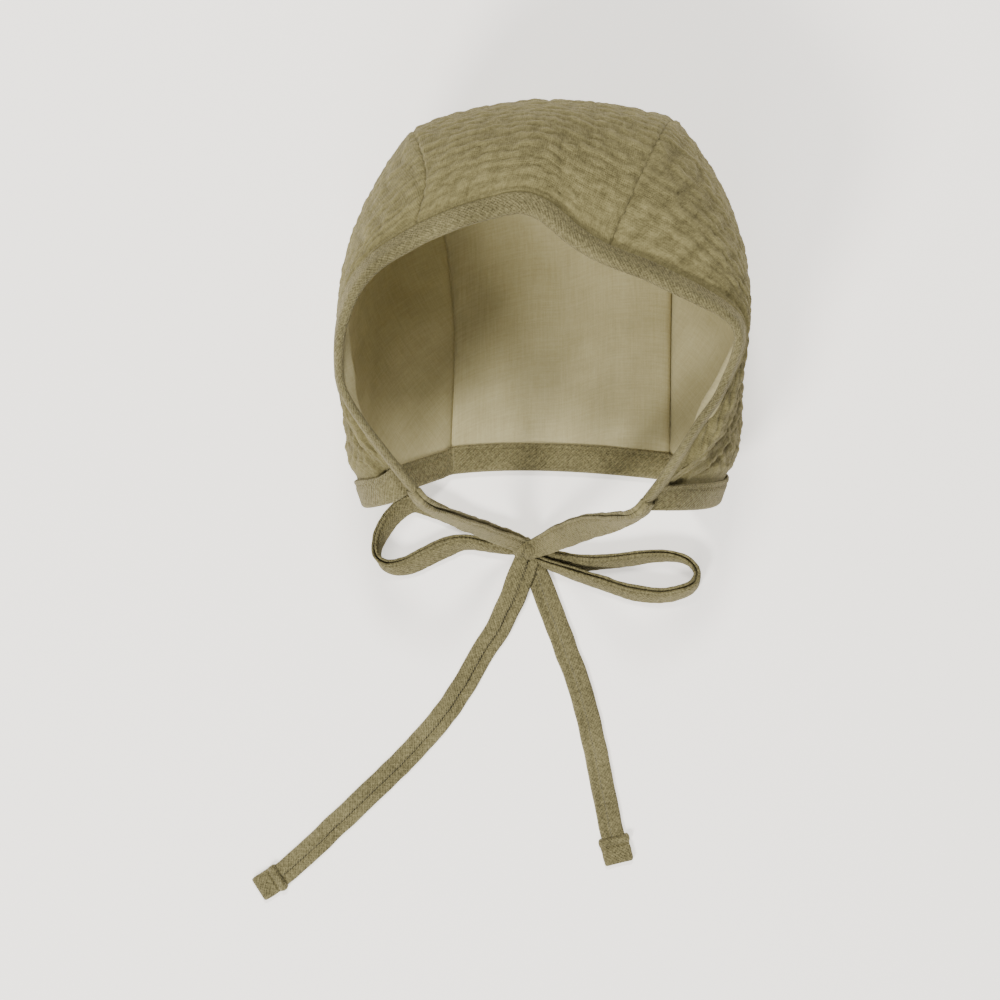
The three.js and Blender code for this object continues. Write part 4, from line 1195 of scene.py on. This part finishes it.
def tape_chains(edge):
    """Rows of distance from the fold and depth, for the outer and the inner face of the tape."""
    half = TAPE_TOTAL / 2.0
    radius = FOLD_RADIUS[edge]
    end = np.array(LEG_PROFILE) * [-1.0, 1.0] + [LEG[edge], 0.0]
    end[STITCH_PLACE, 1] = STITCH_DIP[edge]
    outer_leg = np.concatenate([end, np.linspace(end[-1], [radius, 0.0], LEG_STEPS + 1)[1:-1]])
    inner_leg = outer_leg + [0.0, TAPE_THICKNESS]
    inner_leg[0, 1] = TURNED_UNDER
    angle = np.linspace(0.0, math.pi / 2.0, FOLD_POINTS)
    chains = []
    for leg, inset in ((outer_leg, 0.0), (inner_leg, TAPE_THICKNESS)):
        fold = [radius - (radius - inset) * np.sin(angle), half - (half - inset) * np.cos(angle)]
        upper = np.concatenate([leg, np.stack(fold, axis=-1)])
        lower = upper[-2::-1] * [1.0, -1.0] + [0.0, TAPE_TOTAL]
        chains.append(np.concatenate([upper, lower]))
    return chains


def tape_stations(part, edge, columns):
    """The section of a tape at many places along one part of an edge."""
    layers = []
    for chain in tape_chains(edge):
        distance, depth = chain.T
        places = np.broadcast_to(columns[:, None], (len(columns), len(distance)))
        t, across = place_from_edge(part, edge, places, np.broadcast_to(distance, places.shape))
        depth = np.broadcast_to(depth, places.shape)
        if edge == "front":
            depth = pinched(depth, part, places)
        layers.append(hood_point(part, t, across) - outward(part, t, across) * depth[..., None])
    return layers


# %% [markdown]
# ### Three parts in one tape
# The left side, the middle and the right side are made on their own and joined into one long tape.
# The right side is made from its corner inwards, like the left one, so it is turned round first.

# %% Joining the parts of a tape
TAPE_SPACING = 0.7
MIDDLE_STATIONS = {"front": 110, "neck": 116}


def joined(parts):
    return [np.concatenate(layers) for layers in zip(*parts)]


def whole_tape(name, edge, side):
    """One tape from corner to corner, where side makes its stations on one side."""
    middle = tape_stations("middle", edge, np.linspace(0.0, 1.0, MIDDLE_STATIONS[edge]))
    outer, inner = joined([side("left"), middle, [layer[::-1] for layer in side("right")]])
    run = lengths_along(outer.mean(axis=1), 0)
    wrap = lengths_along(tape_chains(edge)[0], 0)
    on_cloth = np.stack(np.broadcast_arrays(run[:, None], wrap[None, :]), axis=-1)
    return cloth_layer(name, outer, inner, on_cloth, TAPE), outer


# %% [markdown]
# ### Front tape
# It runs round the whole front edge. Near a chin corner the cloth narrows to a point, so there the
# last full section slides along the fold, and the tie takes over from it.

# %% Front tape
FRONT_TAPE_START = 8.0
FRONT_TAPE_END = -3.2
BINDING_END_TAPER = 0.15
CORNER_RUN = 0.04
SIDE_TAPE_STRETCH = 1.05
SLIDING_STATIONS = 14


def along_front(part, distances):
    """Points on the front edge at distances from the chin corner, which may be short of it."""
    run = unit(FRONT[part](CORNER_RUN) - FRONT[part](0.0))
    on_edge = FRONT[part](np.maximum(distances, 0.0) / SIZE[part])
    return on_edge + run * np.minimum(distances, 0.0)[:, None]


def front_side(part):
    """The stations of one side, the first one copied and slid towards and past the corner."""
    start = FRONT_TAPE_START / SIZE[part]
    count = int((SIZE[part] * SIDE_TAPE_STRETCH - FRONT_TAPE_START) / TAPE_SPACING)
    stations = tape_stations(part, "front", np.linspace(start, 1.0, count, endpoint=False))
    distances = np.linspace(FRONT_TAPE_END, FRONT_TAPE_START, SLIDING_STATIONS, endpoint=False)
    offsets = along_front(part, distances) - FRONT[part](start)
    middle = stations[0][0].mean(axis=0)
    narrowing = (1.0 + BINDING_END_TAPER * np.minimum(distances, 0.0))[:, None, None]
    slid = [middle + (layer[0] - middle) * narrowing + offsets[:, None] for layer in stations]
    return joined([slid, stations])


front_tape = whole_tape("front_binding_tape", "front", front_side)[0]

# %% [markdown]
# ### Neck band
# The same fold, with legs of 10 mm, on the neck edge. Its cut ends are tucked behind the front tape,
# so its first section stands along that tape's leg, and from there the band bends smoothly to the
# neck edge.

# %% Neck band
NECK_TAPE_START = {"left": 0.6, "right": -2.6}
NECK_START_NARROWING = 0.88
NECK_START_SQUEEZE = 0.7
NECK_TUCK = 0.5
NECK_TAPE_GAP = 0.5
NECK_COLUMN_START = 0.118
SWINGING_STATIONS = 12


def neck_side(part):
    start = FRONT_TAPE_START / SIZE[part]
    front_section = tape_stations(part, "front", np.array([start]))[0][0]
    leg_end = front_section[LEG_END]
    down = unit(leg_end - front_section[LEG_MIDDLE])
    inward = unit(front_section[-1 - LEG_END] - leg_end)
    columns = np.linspace(NECK_COLUMN_START, 1.0, int(SIZE[part] / TAPE_SPACING), endpoint=False)
    swing = np.linspace(0.0, 1.0, SWINGING_STATIONS, endpoint=False)[:, None, None]
    layers = []
    for chain, layer in zip(tape_chains("neck"), tape_stations(part, "neck", columns)):
        distance, depth = chain.T
        places = distance * NECK_START_NARROWING + NECK_TAPE_START[part]
        slide = along_front(part, places) - FRONT[part](start)
        squeezed = inward * (NECK_TUCK + depth * NECK_START_SQUEEZE)[:, None]
        first = leg_end + down * NECK_TAPE_GAP + squeezed + slide
        halfway = np.linalg.norm(layer[0] - first, axis=1)[:, None] / 2.0
        towards = layer[0] - unit(layer[2] - layer[0]) * halfway
        between = first * (1.0 - swing) ** 2 + towards * 2.0 * swing * (1.0 - swing) + layer[0] * swing**2
        layers.append(np.concatenate([between, layer]))
    return layers


neck_tape, neck_outer = whole_tape("neck_band_tape", "neck", neck_side)

# %% [markdown]
# ## Stitches
# A row of machine stitches is a row of short threads that dip into the cloth at both ends. Each one is
# a six-sided bead of thread, and a whole row is one mesh.

# %% Stitch rows
STITCH_LENGTH = 2.0
STITCH_PITCH = 2.5
STITCH_OFFSET = 0.3
THREAD_RADIUS = 0.16
THREAD_ENDS = 0.55
STITCH_ARCH = 0.34
STITCH_SUNK = 0.22
RINGS = 5
SIDES = 6
TURN = np.arange(SIDES)
BEAD_FACES = [
    [ring * SIDES + a, ring * SIDES + b, (ring + 1) * SIDES + b, (ring + 1) * SIDES + a]
    for ring in range(RINGS - 1) for a, b in zip(TURN, (TURN + 1) % SIDES)
]
BEAD_FACES += [list(TURN[::-1]), list((RINGS - 1) * SIDES + TURN)]


def stitch_row(name, lines):
    """Stitches along lines, each a run of points and the way out of the cloth at each point."""
    beads = []
    arch = np.sin(np.linspace(0.0, math.pi, RINGS))
    radius = (THREAD_RADIUS * (THREAD_ENDS + (1.0 - THREAD_ENDS) * arch))[:, None, None]
    angle = (TURN * 2.0 * math.pi / SIDES)[:, None]
    for line, out in lines:
        along = lengths_along(line, 0)
        for k in range(int(along[-1] / STITCH_PITCH)):
            places = k * STITCH_PITCH + STITCH_OFFSET + np.linspace(0.0, STITCH_LENGTH, RINGS)
            centre, facing = [
                np.stack([np.interp(places, along, column) for column in table.T], axis=-1)
                for table in (line, out)
            ]
            facing = unit(facing)
            centre = centre + facing * (STITCH_ARCH * arch - STITCH_SUNK)[:, None]
            run = unit(np.gradient(centre, axis=0))
            side = unit(np.cross(run, facing))
            above = np.cross(side, run)
            round_it = side[:, None] * np.cos(angle) + above[:, None] * np.sin(angle)
            beads.append((centre[:, None] + radius * round_it).reshape(-1, 3))
    points = (np.concatenate(beads) - LAYOUT_CENTRE) * MM
    faces = [
        [int(first + corner) for corner in face]
        for first in range(0, len(points), RINGS * SIDES) for face in BEAD_FACES
    ]
    mesh = bpy.data.meshes.new(name)
    mesh.from_pydata(points.tolist(), [], faces)
    piece = finished(name, mesh, THREAD)
    return piece


def tape_line(outer, place):
    """The stitch line at one place of a tape's section, and the way out of the cloth there."""
    line = outer[:, place]
    out = unit(np.cross(outer[:, place + 2] - outer[:, place - 2], np.gradient(line, axis=0)))
    inside_out = ((line - outer.mean(axis=1)) * out).sum() < 0.0
    return line, -out if inside_out else out


# %% Sew the rows
NECK_STITCH_START = 16
sewn_band = neck_outer[NECK_STITCH_START:-NECK_STITCH_START]
stitch_row("neck_band_stitches", [
    tape_line(sewn_band, place) for place in (STITCH_PLACE, sewn_band.shape[1] - 1 - STITCH_PLACE)
])
tie_stitches = {
    tie_name: stitch_row(tie_name + "_stitches", tie["stitches"]) for tie_name, tie in ties.items()
}
end_stitches = {
    "tail_left": stitch_row("tie_end_left_stitches", [end_left["stitches"]]),
    "tail_right": stitch_row("tie_end_right_stitches", [end_right["stitches"]]),
}

# %% [markdown]
# ## Hiding the plain solids
# Each piece of cloth made here takes the place of its plain solid, which is hidden.

tapes = {tie_name: tie["piece"] for tie_name, tie in ties.items()}
tapes["bow_knot"] = knot
tapes["tie_end_left"] = end_left["piece"]
tapes["tie_end_right"] = end_right["piece"]
tapes["front_binding"] = front_tape
tapes["neck_band"] = neck_tape
for slot_name, pieces in (("tape", tapes), ("muslin", muslins), ("lining", linings)):
    for node, piece in pieces.items():
        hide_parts(node)

# %% [markdown]
# ## Floor and light
# The bonnet lies on a pale warm-grey surface that glows a little, as a white table in a bright room
# does. The main lamp is soft and comes from the lower left, about 46 degrees up, and throws the wide
# shadow to the upper right. A weaker window below it softens that shadow, a third light from the top
# of the picture reaches into the hood, and a pale sky fills the rest.

# %% Floor
FLOOR_SIZE = 6.0
FLOOR_GLOW = 1.1

bpy.ops.mesh.primitive_plane_add(size=FLOOR_SIZE, location=(0.0, 0.0, 0.0))
floor = bpy.context.object
floor.name = "floor"
# A matt warm-grey board: even and pale, so the eye stays on the cloth.
floor_finish = bpy.data.materials.new("pale_warm_grey_board")
floor_finish.use_nodes = True
floor_shader = floor_finish.node_tree.nodes["Principled BSDF"]
floor_shader.inputs["Base Color"].default_value = srgb("#faf5ee")
floor_shader.inputs["Emission Color"].default_value = srgb("#efece6")
floor_shader.inputs["Emission Strength"].default_value = FLOOR_GLOW
floor_shader.inputs["Roughness"].default_value = 0.9
floor_shader.inputs["Specular IOR Level"].default_value = 0.1
floor.data.materials.append(floor_finish)
print("floor is", FLOOR_SIZE, "m wide")

# %% Lights
LAMP_DISTANCE = 1.6
LAMP_COLOUR = (1.0, 0.985, 0.96)
SKY_STRENGTH = 0.38
LAMPS = [
    # name, azimuth and height in degrees, size in metres, power in watts
    ("soft_key", 236.0, 46.0, 0.4, 25.0),
    ("low_window", 262.0, 42.0, 0.5, 8.0),
    ("top_window", 96.0, 61.0, 0.3, 21.0),
]
for lamp_name, azimuth, elevation, size, power in LAMPS:
    azimuth = math.radians(azimuth)
    elevation = math.radians(elevation)
    lamp_data = bpy.data.lights.new(lamp_name, "AREA")
    lamp_data.shape = "DISK"
    lamp_data.size = size
    lamp_data.energy = power
    lamp_data.color = LAMP_COLOUR
    lamp = bpy.data.objects.new(lamp_name, lamp_data)
    lamp.location = (
        LAMP_DISTANCE * math.cos(elevation) * math.cos(azimuth),
        LAMP_DISTANCE * math.cos(elevation) * math.sin(azimuth),
        LAMP_DISTANCE * math.sin(elevation),
    )
    lamp.rotation_euler = (math.pi / 2.0 - elevation, 0.0, azimuth + math.pi / 2.0)
    bpy.context.scene.collection.objects.link(lamp)
    print(lamp_name, "at", tuple(round(c, 3) for c in lamp.location))

sky = bpy.data.worlds.new("pale_sky")
bpy.context.scene.world = sky
sky.use_nodes = True
background = sky.node_tree.nodes["Background"]
background.inputs["Color"].default_value = srgb("#f4f2f0")
background.inputs["Strength"].default_value = SKY_STRENGTH
print("sky strength", SKY_STRENGTH)

# %% Update the scene
bpy.context.view_layer.update()
